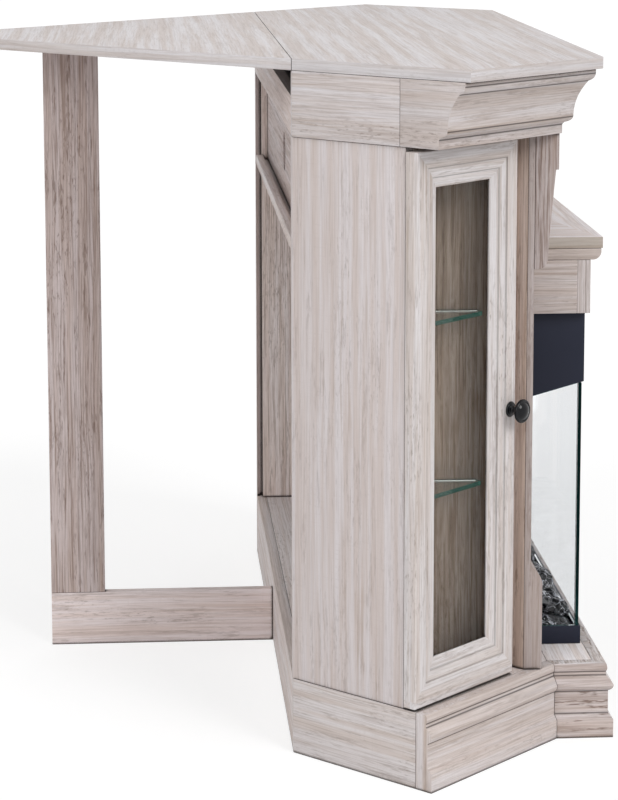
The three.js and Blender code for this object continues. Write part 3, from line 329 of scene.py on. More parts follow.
def timber_group():
    """Limed grain that runs along Z, for a position in metres."""
    tree, given, result = new_group(
        "limed_grain",
        {"Vector": "vector",
         **dict.fromkeys(("Pale", "Wash", "Line", "Tan", "Fleck"), "colour"),
         **dict.fromkeys(("Lines", "Patches", "Flecks", "Scuffs", "Pitch"), "value")})
    place = given["Vector"]

    def patches(vector, stretch, low, high, detail=2.0, rough=0.5, shift=(0, 0, 0)):
        return ramp(tree, speckle(tree, vector, stretch, detail, rough, shift), low, high)

    # the grain wanders a little
    stretched = node(tree, "ShaderNodeMapping", {"Vector": place, "Scale": (6, 6, 1.6)})
    drift = node(tree, "ShaderNodeTexNoise", {
        "Vector": stretched.outputs[0], "Scale": 1.0, "Detail": 2.0, "Roughness": 0.45})
    drift = vector_maths(tree, "SUBTRACT", drift.outputs["Color"], (0.5, 0.5, 0.5))
    drift = vector_maths(tree, "MULTIPLY", drift, (0.014, 0.014, 0))
    bent = vector_maths(tree, "ADD", place, drift)
    # close, even lines, drawn on whichever face of the board shows, and broken up
    axes = node(tree, "ShaderNodeSeparateXYZ", {0: bent}).outputs
    across = maths(tree, "MULTIPLY_ADD", axes["Y"], 0.83, axes["X"])
    waver = speckle(tree, bent, (34, 34, 3.4), 2.0, 0.5, (3, 1, 7))
    count = maths(tree, "MULTIPLY_ADD", waver, 4.2,
                  maths(tree, "DIVIDE", across, given["Pitch"]))
    saw = times(tree, maths(tree, "PINGPONG", count, 0.5), 2.0)
    fade = patches(bent, (30, 30, 3.2), 0.36, 0.64, shift=(6, 6, 2))
    chop = patches(bent, (150, 150, 22), 0.36, 0.62, 3.0, 0.6, (5, 2, 8))
    ring = times(tree, ramp(tree, saw, 0.35, 0.98), maths(tree, "MULTIPLY_ADD", fade, 0.75, 0.25),
                 maths(tree, "MULTIPLY_ADD", chop, 0.65, 0.35))
    # cooler columns and warm patches
    column = patches(bent, (70, 70, 1.6), 0.38, 0.62, 4.0, 0.62, (8, 3, 5))
    region = patches(place, (8, 8, 1.7), 0.40, 0.64, shift=(2, 9, 4))
    patch = patches(bent, (115, 115, 4.2), 0.50, 0.72, 4.0, 0.70, (1, 7, 3))
    warm = times(tree, patch, given["Patches"], maths(tree, "MULTIPLY_ADD", region, 0.85, 0.15))
    base = mix_colour(tree, column, given["Pale"], given["Wash"])
    base = mix_colour(tree, warm, base, given["Tan"])
    # the lines, with fine streaks, pores and saw marks across the grain
    streak = patches(bent, (310, 310, 5.5), 0.47, 0.62, 4.0, 0.75, (9, 4, 1))
    pores = patches(bent, (700, 700, 26), 0.48, 0.72, 3.0, 0.65)
    sawn = patches(place, (26, 26, 330), 0.50, 0.72)
    ink = largest(tree, times(tree, ring, given["Lines"]), times(tree, pores, given["Lines"], 0.55),
                  times(tree, sawn, 0.10), times(tree, streak, given["Lines"], 0.95))
    base = mix_colour(tree, ink, base, given["Line"])
    # flecks in clusters
    gate = patches(place, (20, 20, 5), 0.50, 0.66, shift=(1, 6, 2))
    marks = patches(bent, (330, 330, 70), 0.53, 0.68, 3.0, 0.65, (4, 4, 9))
    base = mix_colour(tree, times(tree, marks, gate, given["Flecks"]), base, given["Fleck"])
    # worn streaks where the dark ground shows through the liming
    bare = patches(bent, (95, 95, 10), 0.53, 0.62, 4.0, 0.66, (7, 1, 4))
    torn = patches(bent, (420, 420, 60), 0.38, 0.60, 2.0, 0.6, (2, 5, 6))
    base = mix_colour(tree, times(tree, bare, torn, given["Scuffs"]), base, given["Fleck"])
    sunk = maths(tree, "MULTIPLY_ADD", pores, 0.4, times(tree, ring, 0.6))
    feed(tree, result, Color=base, Height=maths(tree, "SUBTRACT", 1.0, sunk),
         Roughness=maths(tree, "SUBTRACT", 0.68, times(tree, column, 0.10)))


# The way that the grain of each board runs.
STRAIGHT_BOARDS = {
    "top_board": "X", "top_extension": "X", "rear_post": "Z", "rear_stretcher": "Y",
    "frieze_back_rail": "X", "ceiling_board": "X", "base_back_rail": "X", "floor_board": "X",
    "hearth_board": "X", "niche_shelf": "X", "niche_back_panel": "X",
}
WRAPPED_BOARDS = ("front_crown", "hearth_moulding", "header_box", "mantel_moulding", "mantel_slab")
CUPBOARD_BOARDS = {
    "crown": "X", "side_frieze": "Y", "base_moulding": "X", "side_base_board": "Y",
    "side_panel": "Z", "partition": "Z", "front_stile": "Z", "pilaster": "Z", "corbel": "Z",
}
END_GRAIN = {"crown": "Y", "base_moulding": "Z"}  # way of the grain on the sawn ends
LIPPING = 19 * MM  # upright strip at each front corner of the header
LINE_REACH, LINE_CORE = 1.5 * MM, 0.6 * MM  # half widths of a shadow line, faint and full
SIGHT_REACH, SIGHT_CORE = 1.4 * MM, 0.5 * MM  # and round a door's glass
PLAIN_WEAR = (1, 1, 0.15)
# Painted shade in creases and joints: how open a point is where the painted darkening starts and
# where it is full, close to a joint and further from it, the share of the second, and the tone
# beside the grain lines.
TIGHT, WIDE, WIDE_SHARE, CREASE_TONE = (0.76, 0.56), (0.95, 0.50), 0.45, 0.12
ALONG = {"X": (0, math.pi / 2), "Y": (-math.pi / 2, 0), "Z": (0, 0)}
# Browner and paler boards: their share of each colour, beside the settings. The ceiling board's low
# share is painted shade.
TONES = {
    "rear_post": (0.90, 0.84, 0.83), "rear_stretcher": (1.20, 1.16, 1.16),
    "front_stile": (0.96, 0.87, 0.79), "corbel": (0.72, 0.68, 0.67),
    "pilaster": (0.64, 0.61, 0.60), "partition": (1.32, 1.30, 1.28),
    "header_box": (0.90, 0.89, 0.88), "mantel_moulding": (0.80, 0.75, 0.70),
    "mantel_slab": (1.20, 1.22, 1.24), "frieze_back_rail": (1.0, 0.98, 0.98),
    # painted shade: the ceiling board is darkened where it lies in shadow
    "ceiling_board": (0.3, 0.28, 0.27), "niche_back_panel": (0.86, 0.82, 0.82),
    "crown": (0.93, 0.93, 0.93), "hearth_moulding": (1.12, 1.16, 1.18),
    "hearth_board": (1.25, 1.30, 1.33), "side_panel": (0.95, 0.95, 0.96),
    "side_base_board": (0.92, 0.93, 0.93), "base_moulding": (0.96, 0.96, 0.96),
    "side_frieze": (1.0, 1.03, 1.06), "door_frame": (1.03, 1.06, 1.07),
    "top_board": (0.95, 0.98, 1.0), "top_extension": (0.95, 0.98, 1.0),
}
# Faces of a board that are darker than its others: painted shade on the tops of the ceiling board
# and the back rail and on the partitions' faces inside the cupboards, and darker ends of the mantel
# slab and the hearth moulding. The columns: the way they face, whether the opposite face is too,
# and the share of each colour that stays.
FACES = {
    "mantel_slab": ((1, 0, 0), True, (0.56, 0.53, 0.47)),
    # painted shade on the top of the ceiling board and of the back rail
    "ceiling_board": ((0, 0, 1), False, (0.1, 0.1, 0.1)),
    "frieze_back_rail": ((0, 0, 1), False, (0.2, 0.2, 0.2)),
    "hearth_moulding": ((1, 0, 0), True, (0.76, 0.71, 0.69)),
    # painted shade on the partitions' faces inside the cupboards
    "left_partition": ((-1, 0, 0), False, (0.60, 0.54, 0.49)),
    "right_partition": ((1, 0, 0), False, (0.60, 0.54, 0.49)),
}
# Heights, in millimetres, of the steps where shadow lines lie in the mouldings.
CROWN_STEPS, BASE_STEPS = (942.7, 932.5, 883.5, 872.5), (67, 89, 94)
STEPS = {"crown": CROWN_STEPS, "front_crown": CROWN_STEPS, "base_moulding": BASE_STEPS,
         "hearth_moulding": (34.5, *BASE_STEPS)}
SIGHT_STEPS = (6.6, 20.2)  # the same round a door's glass, outward from its edge
# Strength of the lines beside the other boards.
BUSY = {
    "rear_post": 1.9, "corbel": 2.7, "front_stile": 1.6, "partition": 2.0, "side_panel": 0.55,
    "top_board": 0.7, "top_extension": 0.7, "mantel_slab": 0.8, "hearth_moulding": 1.5,
    "header_box": 1.3, "niche_back_panel": 1.8,
}
# Shares of the warm patches and of the flecks beside the other boards, and the worn streaks.
WORN = {
    "top_board": (0.35, 0.5, 0.05), "top_extension": (0.45, 0.6, 0.1),
    "mantel_slab": (0.5, 0.5, 0), "hearth_moulding": (1, 1.2, 0.8), "rear_post": (1.1, 1.3, 0.55),
    "hearth_board": (0.4, 0.5, 0), "front_stile": (1, 1, 0.5), "pilaster": (0.8, 1, 0.3),
    "door_frame": (1, 1, 0.3), "crown": (0.9, 1, 0.25), "side_base_board": (1, 1, 0.3),
    "rear_stretcher": (0.8, 1, 0.3), "partition": (1, 1, 0.35), "side_panel": (1.1, 0.6, 0.2),
}


def grain_place(tree, position, turn, along, shift):
    """The position turned so that the grain of the board runs along Z."""
    about_x, about_y = ALONG[along]
    return node(tree, "ShaderNodeMapping",
                {"Vector": position, "Location": shift,
                 "Rotation": (about_x, about_y, -math.radians(turn))},
                vector_type="TEXTURE").outputs[0]


def timber_material(name, build_vector):
    look = bpy.context.scene.limed_timber
    kind = name.removeprefix("left_").removeprefix("right_")
    left = TONES.get(kind, (1, 1, 1))
    warmth, flecks, scuffs = WORN.get(kind, PLAIN_WEAR)
    material, tree, shader = new_material(f"limed_{name}", Roughness=0.62,
                                          Specular_IOR_Level=0.3)
    position = texture_place(tree)
    toned = {key: tuple(value * part for value, part in zip(getattr(look, key.lower()), left))
             for key in ("Pale", "Wash", "Line", "Tan", "Fleck")}
    grain = place_group(tree, "limed_grain", {
        "Vector": build_vector(tree, position), **toned,
        "Lines": min(1.0, look.lines * BUSY.get(kind, 1.0)),
        "Patches": min(1.0, look.patches * warmth), "Flecks": min(1.0, look.flecks * flecks),
        "Scuffs": scuffs, "Pitch": look.pitch})
    shown = grain["Color"]
    # faces darkened as painted shade, and darker ends
    darker = FACES.get(kind) or FACES.get(name)
    if darker:
        way, both, part = darker
        shown = mix_colour(tree, faces_along(tree, way, both), shown, part, "MULTIPLY")
    # Painted shade: occlusion darkens creases, joints and the steps of the mouldings towards a deep
    # tone.
    crease = node(tree, "ShaderNodeAmbientOcclusion", {"Distance": look.crease},
                  samples=8).outputs["AO"]
    painted_shade = largest(tree, ramp(tree, crease, *TIGHT),
                   times(tree, ramp(tree, crease, *WIDE), WIDE_SHARE))
    if kind in STEPS:
        painted_shade = largest(tree, painted_shade, step_lines(tree, position, STEPS[kind], name))
    if kind == "door_frame":
        painted_shade = largest(tree, painted_shade, sight_lines(tree, position, name.split("_")[0]))
    deep = tuple(value * CREASE_TONE for value in toned["Line"])
    feed(tree, shader,
         Base_Color=mix_colour(tree, times(tree, painted_shade, look.painted_crease_shade), shown, deep),
         Roughness=grain["Roughness"], Normal=bump(tree, grain["Height"], look.relief))
    return material


def shadow_lines(tree, value, places, reach, core, depth):
    """Lines where a value in metres passes each of the places, given in millimetres."""
    return largest(tree, 0.0, *(
        ramp(tree, distance(tree, value, place * MM), reach, core, 0.0, depth)
        for place in places))


def step_lines(tree, position, heights, name):
    """Shadow lines at the steps of a moulding, and none on its flush end."""
    level = node(tree, "ShaderNodeSeparateXYZ", {0: position}).outputs["Z"]
    lines = shadow_lines(tree, level, heights, LINE_REACH, LINE_CORE, 0.8)
    side = name.split("_")[0]
    if side in SIDES:
        flush = faces_along(tree, door_axes(side)[0])
        lines = times(tree, lines, maths(tree, "SUBTRACT", 1.0, flush))
    return lines


def faces_along(tree, way, both=True):
    """1 on the faces that look along a direction, and against it where both is set."""
    reach = reach_along(tree, texture_place(tree, "Normal"), way)
    if both:
        reach = maths(tree, "ABSOLUTE", reach)
    return maths(tree, "GREATER_THAN", reach, 0.6)


def normal_mask(tree, first, second):
    """1 where the surface faces more along the first way than along the second."""
    normal = texture_place(tree, "Normal")
    reach = [maths(tree, "ABSOLUTE", reach_along(tree, normal, way)) for way in (first, second)]
    return maths(tree, "GREATER_THAN", reach[0], maths(tree, "ADD", reach[1], 0.01))


def wrapped(tree, position, shift, across_way, face_way, turn, along, end):
    """One way of the grain on the face of a board and another on its returned ends."""
    return mix_vector(tree, normal_mask(tree, across_way, face_way),
                      grain_place(tree, position, turn, along, shift),
                      grain_place(tree, position, turn, end, shift))


def rimmed(tree, position, shift):
    """Level grain on a board of the top, drawn along each of its slanted edges."""
    placed = grain_place(tree, position, 0, "X", shift)
    for way, turn in (((-EDGE_ON, EDGE_ON, 0), -45), ((EDGE_ON, EDGE_ON, 0), 45)):
        placed = mix_vector(tree, faces_along(tree, way), placed,
                            grain_place(tree, position, turn, "X", shift))
    return placed


def lipped(tree, position, shift):
    """Level grain on the header, upright grain on the lipping behind its front."""
    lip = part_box("header_box")[0].y + LIPPING
    depth = node(tree, "ShaderNodeSeparateXYZ", {0: position}).outputs["Y"]
    upright = times(tree, maths(tree, "LESS_THAN", depth, lip), faces_along(tree, ACROSS))
    return mix_vector(tree, upright,
                      wrapped(tree, position, shift, ACROSS, AHEAD, 0, "X", "Y"),
                      grain_place(tree, position, 0, "Z", shift))


def past_glass(tree, position, side):
    """How far a point of a door lies outside its glass, along the door and upwards."""
    beyond = []
    for way in door_axes(side)[::2]:
        low, high = span(f"{side}_door_glass", way)
        away = distance(tree, reach_along(tree, position, way), (low + high) / 2)
        beyond.append(maths(tree, "SUBTRACT", away, (high - low) / 2))
    return beyond


def sight_lines(tree, position, side):
    """Shadow lines at the steps of the moulding round a door's glass."""
    lines = shadow_lines(tree, largest(tree, *past_glass(tree, position, side)), SIGHT_STEPS,
                         SIGHT_REACH, SIGHT_CORE, 0.38)
    return times(tree, lines, faces_along(tree, door_axes(side)[1], False))


def mitred_frame(tree, position, side, shift):
    """Upright grain on the stiles of a door, level grain on its rails, met on the mitre."""
    beyond = past_glass(tree, position, side)
    rail = maths(tree, "GREATER_THAN", beyond[1], beyond[0])
    turn = -45 * SIDES[side]
    return mix_vector(tree, rail, grain_place(tree, position, turn, "Z", shift),
                      grain_place(tree, position, turn, "X", shift))


class FIREPLACE_OT_timber(bpy.types.Operator):
    """Limed timber on every board, with the grain of each running its own way"""
    bl_idname = "fireplace.timber"
    bl_label = "Finish the boards"

    def execute(self, context):
        timber_group()
        easing = context.scene.limed_timber.easing
        draw = random.Random(11)

        def finish(name, build_vector):
            ease_edges(dress(name, timber_material(name, build_vector)), easing)

        def shift():
            return tuple(draw.uniform(-3, 3) for _ in range(3))

        for name, along in STRAIGHT_BOARDS.items():
            off = shift()
            if name.startswith("top"):
                finish(name, lambda tree, at: rimmed(tree, at, off))
            else:
                finish(name, lambda tree, at: grain_place(tree, at, 0, along, off))
        for name in WRAPPED_BOARDS:
            off = shift()
            if name == "header_box":
                finish(name, lambda tree, at: lipped(tree, at, off))
            else:
                finish(name, lambda tree, at: wrapped(
                    tree, at, off, ACROSS, AHEAD, 0, "X", "Y"))
        for side, hand in SIDES.items():
            along_face, outward = door_axes(side)[:2]
            for name, along in CUPBOARD_BOARDS.items():
                off = shift()
                turn = 0 if name in ("pilaster", "corbel") else -45 * hand
                end = END_GRAIN.get(name, along)
                finish(f"{side}_{name}", lambda tree, at: wrapped(
                    tree, at, off, along_face, outward, turn, along, end))
            off = shift()
            finish(f"{side}_door_frame", lambda tree, at: mitred_frame(tree, at, side, off))
        return {"FINISHED"}


# ---------------------------------------------------------------- eased edges

FLAT_WITHIN = math.radians(0.4)  # faces that lie flatter than this become one
EASED_FROM = math.radians(32)  # edges sharper than this are rounded
SHARP_FROM = math.radians(40)  # edges sharper than this keep their line in the shading


def modifier_tree(name):
    """An empty modifier tree, with its way in and its way out."""
    tree = bpy.data.node_groups.new(name, "GeometryNodeTree")
    for way in ("INPUT", "OUTPUT"):
        tree.interface.new_socket("Geometry", in_out=way, socket_type="NodeSocketGeometry")
    return (tree, tree.nodes.new("NodeGroupInput").outputs[0],
            tree.nodes.new("NodeGroupOutput").inputs[0])


def corner_tree():
    """Joins the split corners of a packed mesh and drops its stored normals."""
    name = "joined_corners"
    if name not in bpy.data.node_groups:
        tree, given, result = modifier_tree(name)
        bare = node(tree, "GeometryNodeRemoveAttribute",
                    {"Geometry": given, "Name": "custom_normal"})
        joined = node(tree, "GeometryNodeMergeByDistance",
                      {"Geometry": bare.outputs[0], "Distance": 0.01 * MM})
        tree.links.new(joined.outputs[0], result)
    return bpy.data.node_groups[name]


def shading_tree():
    """Smooth shading that keeps the sharper edges."""
    name = "soft_shading"
    if name not in bpy.data.node_groups:
        tree, given, result = modifier_tree(name)
        faces = node(tree, "GeometryNodeSetShadeSmooth", {"Geometry": given})
        bend = node(tree, "GeometryNodeInputMeshEdgeAngle").outputs["Unsigned Angle"]
        gentle = maths(tree, "LESS_THAN", bend, SHARP_FROM)
        edges = node(tree, "GeometryNodeSetShadeSmooth",
                     {"Geometry": faces.outputs[0], "Shade Smooth": gentle}, domain="EDGE")
        tree.links.new(edges.outputs[0], result)
    return bpy.data.node_groups[name]


def ease_edges(part, width, segments=2):
    """Rounds the sharp edges of a packed part by a hair, with modifiers only."""
    part.modifiers.new("corners", "NODES").node_group = corner_tree()
    flat = part.modifiers.new("flat_faces", "DECIMATE")
    flat.decimate_type, flat.angle_limit = "DISSOLVE", FLAT_WITHIN
    round_over = part.modifiers.new("eased", "BEVEL")
    round_over.width, round_over.segments = width, segments
    round_over.limit_method, round_over.angle_limit = "ANGLE", EASED_FROM
    part.modifiers.new("shading", "NODES").node_group = shading_tree()


# ---------------------------------------------------------------- glass

# Refraction and painted glow of the cut edges, which shine by emission though no lamp lights them.
# The large sheets refract little, so that they mirror little of the white studio.
SHELF_GLASS, PANE_GLASS, BAY_GLASS = (1.45, 0.10), (1.14, 0.10), (1.04, 0.05)
EDGE_DEPTH = 1.6  # power that deepens the colour of the painted glow


def cut_mask(tree, way):
    """1 on the cut edges of a sheet of glass that is thin along one direction."""
    reach = maths(tree, "ABSOLUTE", reach_along(tree, texture_place(tree, "Normal"), way))
    return maths(tree, "LESS_THAN", reach, 0.5)


def glass_material(name, face, cut, way, index, painted_glow):
    material, tree, shader = new_material(
        name, Roughness=0.0, IOR=index, Transmission_Weight=1.0, Metallic=0.0,
        Emission_Strength=painted_glow)
    cloud = ramp(tree, speckle(tree, texture_place(tree), (6, 6, 3)), 0.3, 0.7, 0.97, 1.0)
    plain = mix_colour(tree, 1.0, tuple(face), cloud, "MULTIPLY")
    edge = cut_mask(tree, way)
    deep = tuple(part ** EDGE_DEPTH for part in cut)
    # the emission at the cut edges is a painted glow
    feed(tree, shader, Base_Color=mix_colour(tree, edge, plain, tuple(cut)),
         Emission_Color=mix_colour(tree, edge, (0, 0, 0), deep))
    return material


class FIREPLACE_OT_glass(bpy.types.Operator):
    """Clear glass of the fire bay, the door panes and the shelves, green at the cut edges, with a
    painted glow there
    """
    bl_idname = "fireplace.glass"
    bl_label = "Finish the glass"

    def execute(self, context):
        look = context.scene.cabinet_glass
        bay = look.bay, look.bay_cut
        sheets = [("front_bay_glass", "bay_glass_front", *bay, AHEAD, *BAY_GLASS)]
        for side in SIDES:
            sheets.append((f"{side}_side_bay_glass", f"bay_glass_{side}", *bay, ACROSS,
                           *BAY_GLASS))
            sheets.append((f"{side}_door_glass", f"door_pane_{side}", look.pane, look.cut,
                           door_axes(side)[1], *PANE_GLASS))
            for level in LEVELS:
                sheets.append((f"{side}_glass_shelf_{level}", f"shelf_glass_{side}_{level}",
                               look.sheet, look.cut, (0, 0, 1), *SHELF_GLASS))
        for part, *recipe in sheets:
            dress(part, glass_material(*recipe))
        return {"FINISHED"}


# ---------------------------------------------------------------- metal

FOLD_EASING, HINGE_EASING = 0.5 * MM, 0.4 * MM
PEEL_DEPTH = BRUSH_DEPTH = 0.04 * MM


def coated_group():
    """Fine orange peel and faint dust of a sprayed coat."""
    tree, given, result = new_group(
        "sprayed_coat", {"Vector": "vector", "Coat": "colour", "Dust": "colour",
                         "Gloss": "value"})
    peel = speckle(tree, given["Vector"], (900, 900, 900), 2.0, 0.5)
    cloud = speckle(tree, given["Vector"], (9, 9, 9), 3.0, 0.5, (2, 3, 1))
    film = ramp(tree, cloud, 0.4, 0.75, 0.0, 0.22)
    feed(tree, result, Color=mix_colour(tree, film, given["Coat"], given["Dust"]), Height=peel,
         Roughness=maths(tree, "MULTIPLY_ADD", cloud, 0.14, given["Gloss"]))


def coated_material(name, coat, gloss, relief, **settings):
    material, tree, shader = new_material(name, **settings)
    position = texture_place(tree)
    lighter = tuple(value * 1.35 + 0.004 for value in coat)
    film = place_group(tree, "sprayed_coat", {
        "Vector": position, "Coat": tuple(coat), "Dust": lighter, "Gloss": gloss})
    feed(tree, shader, Base_Color=film["Color"], Roughness=film["Roughness"],
         Normal=bump(tree, film["Height"], relief))
    return material


def nickel_material():
    name = "nickel_plate"
    if name in bpy.data.materials:
        return bpy.data.materials[name]
    look = bpy.context.scene.cabinet_metal
    material, tree, shader = new_material(name, Metallic=1.0)
    position = texture_place(tree)
    brushed = speckle(tree, position, (90, 90, 2400), 2.0, 0.6)
    feed(tree, shader,
         Base_Color=mix_colour(tree, ramp(tree, brushed, 0.3, 0.7, 0.0, 0.35), tuple(look.nickel),
                               tuple(value * 0.7 for value in look.nickel)),
         Roughness=maths(tree, "MULTIPLY_ADD", brushed, 0.2, 0.24),
         Normal=bump(tree, brushed, BRUSH_DEPTH))
    return material


class FIREPLACE_OT_metal(bpy.types.Operator):
    """Sprayed steel of the fire bay and plated steel of the hinges"""
    bl_idname = "fireplace.metal"
    bl_label = "Finish the metal"

    def execute(self, context):
        look = context.scene.cabinet_metal
        coated_group()
        for name, coat, gloss in (("fire_hood", look.hood, 0.34), ("fire_tray", look.hood, 0.36),
                                  ("fire_housing", look.screen, 0.45),
                                  ("flame_screen", look.screen, 0.12)):
            part = dress(name, coated_material(f"coated_{name}", coat, gloss, PEEL_DEPTH,
                                               Specular_IOR_Level=0.18))
            if name != "flame_screen":
                ease_edges(part, FOLD_EASING)
        for side in SIDES:
            for fitting in ("hinge_cup", "hinge_arm"):
                for level in LEVELS:
                    ease_edges(dress(f"{side}_{fitting}_{level}", nickel_material()),
                               HINGE_EASING)
        return {"FINISHED"}


# ---------------------------------------------------------------- knobs

# Radius and height above the door, in millimetres, from the rose to the crown of the head.
KNOB_PROFILE = (
    (0, 0), (9.9, 0), (10, 0.9), (9.6, 1.9), (8.2, 2.7), (7.4, 2.9), (6.9, 3.5), (5.4, 4.6),
    (4.6, 6.2), (4.4, 8.6), (4.7, 11.2), (5.9, 13.3), (8.6, 14.9), (12.2, 16.0), (14.9, 17.0),
    (16.2, 18.3), (16.5, 19.7), (16.2, 21.1), (15.3, 22.1), (14.2, 22.5), (13.3, 22.3),
    (12.7, 21.9), (12.2, 22.2), (10.9, 23.4), (8.6, 24.9), (5.6, 26.1), (2.6, 26.8), (0, 27),
)
KNOB_GLOSS, KNOB_PEEL = 0.03, 0.02 * MM


def smooth_profile(points, steps=3):
    """A curve through the points, with more of them."""
    line = [Vector(point) for point in points]
    padded = [line[0], *line, line[-1]]
    out = []
    for before, start, end, after in zip(padded, padded[1:], padded[2:], padded[3:]):
        for step in range(steps):
            t = step / steps
            out.append(0.5 * ((2 * start) + (end - before) * t
                              + (2 * before - 5 * start + 4 * end - after) * t ** 2
                              + (3 * start - before - 3 * end + after) * t ** 3))
    return out + [line[-1]]


def turned(work, profile, place, segments=48):
    """Adds a turned form: the profile's radius and height, put in place by a matrix."""
    rings = []
    for radius, height in profile:
        turns = [2 * math.pi * i / segments for i in range(segments if radius > 1e-9 else 1)]
        rings.append([work.verts.new(place @ Vector((
            radius * math.cos(turn), radius * math.sin(turn), height))) for turn in turns])
    for low, high in zip(rings, rings[1:]):
        for i in range(segments):
            j = (i + 1) % segments
            corners = list(dict.fromkeys((low[i % len(low)], low[j % len(low)],
                                          high[j % len(high)], high[i % len(high)])))
            if len(corners) > 2:
                work.faces.new(corners)
    return sum(rings, [])


def facing(origin, outward):
    """The matrix that stands a turned form at a point, along a direction."""
    return Matrix.Translation(origin) @ outward.to_track_quat("Z", "Y").to_matrix().to_4x4()


class FIREPLACE_OT_knobs(bpy.types.Operator):
    """Turned mushroom knobs, one on each door"""
    bl_idname = "fireplace.knobs"
    bl_label = "Turn the knobs"

    def execute(self, context):
        material = coated_material("gloss_black_knob", context.scene.cabinet_metal.knob,
                                   KNOB_GLOSS, KNOB_PEEL, Specular_IOR_Level=0.25)
        profile = [(max(0.0, point.x) * MM, point.y * MM)
                   for point in smooth_profile(KNOB_PROFILE)]
        for side in SIDES:
            name = f"{side}_door_knob"
            along, outward, up = door_axes(side)
            seat = (along * middle(name, along) + up * middle(name, up)
                    + outward * span(name, outward)[0])
            work = bmesh.new()
            turned(work, profile, facing(seat, outward))
            bmesh.ops.remove_doubles(work, verts=work.verts, dist=0.000001)
            new_piece(f"{side}_turned_knob", to_mesh(work, f"{side}_turned_knob"),
                      f"{side}_door", material, (name,))
        return {"FINISHED"}


# ---------------------------------------------------------------- screws

# Radius and height of a pan head above the plate, in millimetres.
SCREW_PROFILE = ((0, -0.3), (3.1, -0.3), (3.2, 0.3), (3.0, 0.9), (2.5, 1.4), (2.2, 1.6),
                 (1.8, 1.7), (1.4, 1.8), (1.0, 1.85), (0.6, 1.85), (0.3, 1.85), (0, 1.85))
CROSS_HALF_WIDTH, CROSS_REACH, CROSS_DEPTH = 0.45, 1.9, 0.8
CUP_SCREWS, SEAT_SCREWS = 17.5 * MM, 13.5 * MM  # above and below the middle of a hinge
SEAT_THICKNESS, SEAT_MIDDLE = 2 * MM, 27 * MM  # from the side panel; from the arm's door end


def driven_screw(work, seat, outward):
    """Adds a pan head with a cross recess."""
    head = turned(work, [(radius * MM, height * MM) for radius, height in SCREW_PROFILE],
                  Matrix.Identity(4), 32)
    for vertex in head:
        x, y, z = (part / MM for part in vertex.co)
        arm = min(abs(x), abs(y)) < CROSS_HALF_WIDTH and max(abs(x), abs(y)) < CROSS_REACH
        if z > 1 and arm:
            vertex.co.z -= CROSS_DEPTH * MM
    bmesh.ops.transform(work, matrix=facing(seat, outward), verts=head)


class FIREPLACE_OT_screws(bpy.types.Operator):
    """Screws that hold the hinge cups and seats, and the knobs"""
    bl_idname = "fireplace.screws"
    bl_label = "Drive the screws"

    def execute(self, context):
        for side in SIDES:
            along, outward, up = door_axes(side)
            inward = -outward
            on_door, on_cabinet = bmesh.new(), bmesh.new()
            for level in LEVELS:
                cup, arm = f"{side}_hinge_cup_{level}", f"{side}_hinge_arm_{level}"
                for hand in (-1, 1):
                    driven_screw(on_door, along * middle(cup, along)
                                 + inward * span(cup, inward)[1]
                                 + up * (middle(cup, up) + hand * CUP_SCREWS), inward)
                    driven_screw(on_cabinet, along * (span(arm, along)[0] + SEAT_THICKNESS)
                                 + inward * (span(arm, inward)[0] + SEAT_MIDDLE)
                                 + up * (middle(arm, up) + hand * SEAT_SCREWS), along)
            knob = f"{side}_door_knob"
            driven_screw(on_door, along * middle(knob, along)
                         + inward * span(f"{side}_door_frame", inward)[1]
                         + up * middle(knob, up), inward)
            for name, work, body in ((f"{side}_door_screws", on_door, f"{side}_door"),
                                     (f"{side}_seat_screws", on_cabinet, "cabinet")):
                new_piece(name, to_mesh(work, name, False), body,
                          nickel_material())
        return {"FINISHED"}


# ---------------------------------------------------------------- embers

def ember_material():
    look = bpy.context.scene.ember_bed_look
    material, tree, shader = new_material("charred_embers", Specular_IOR_Level=0.6)
    position = texture_place(tree)
    crumple = node(tree, "ShaderNodeTexNoise",
                   {"Vector": position, "Scale": 150.0, "Detail": 4.0, "Roughness": 0.65,
                    "Distortion": 0.8}, noise_type="RIDGED_MULTIFRACTAL").outputs["Fac"]
    bend = node(tree, "ShaderNodeTexNoise",
                {"Vector": position, "Scale": 120.0, "Detail": 3.0}).outputs["Color"]
    bent = vector_maths(tree, "ADD", position, vector_maths(tree, "SCALE", vector_maths(
        tree, "SUBTRACT", bend, (0.5, 0.5, 0.5)), Scale=0.016))
    cells = node(tree, "ShaderNodeTexVoronoi", {"Vector": bent, "Scale": 85.0},
                 feature="DISTANCE_TO_EDGE").outputs["Distance"]
    # Silvery colour on the cracks and crumpled ridges: ash, with painted highlights where the
    # glossy ridges would catch the light.
    veins = ramp(tree, cells, 0.075, 0.0)
    patchy = ramp(tree, speckle(tree, position, (34, 34, 34), 2.0, 0.5), 0.40, 0.62)
    film = times(tree, ramp(tree, crumple, 0.9, 1.5), 0.35)
    ash = maths(tree, "MULTIPLY", largest(tree, veins, film), maths(tree, "ADD", 0.10, patchy),
                clamp=True)
    feed(tree, shader, Base_Color=mix_colour(tree, ash, tuple(look.char), tuple(look.ash)),
         Roughness=ramp(tree, patchy, 0.0, 1.0, 0.46, 0.30),
         Normal=bump(tree, crumple, 0.0012))
    return material


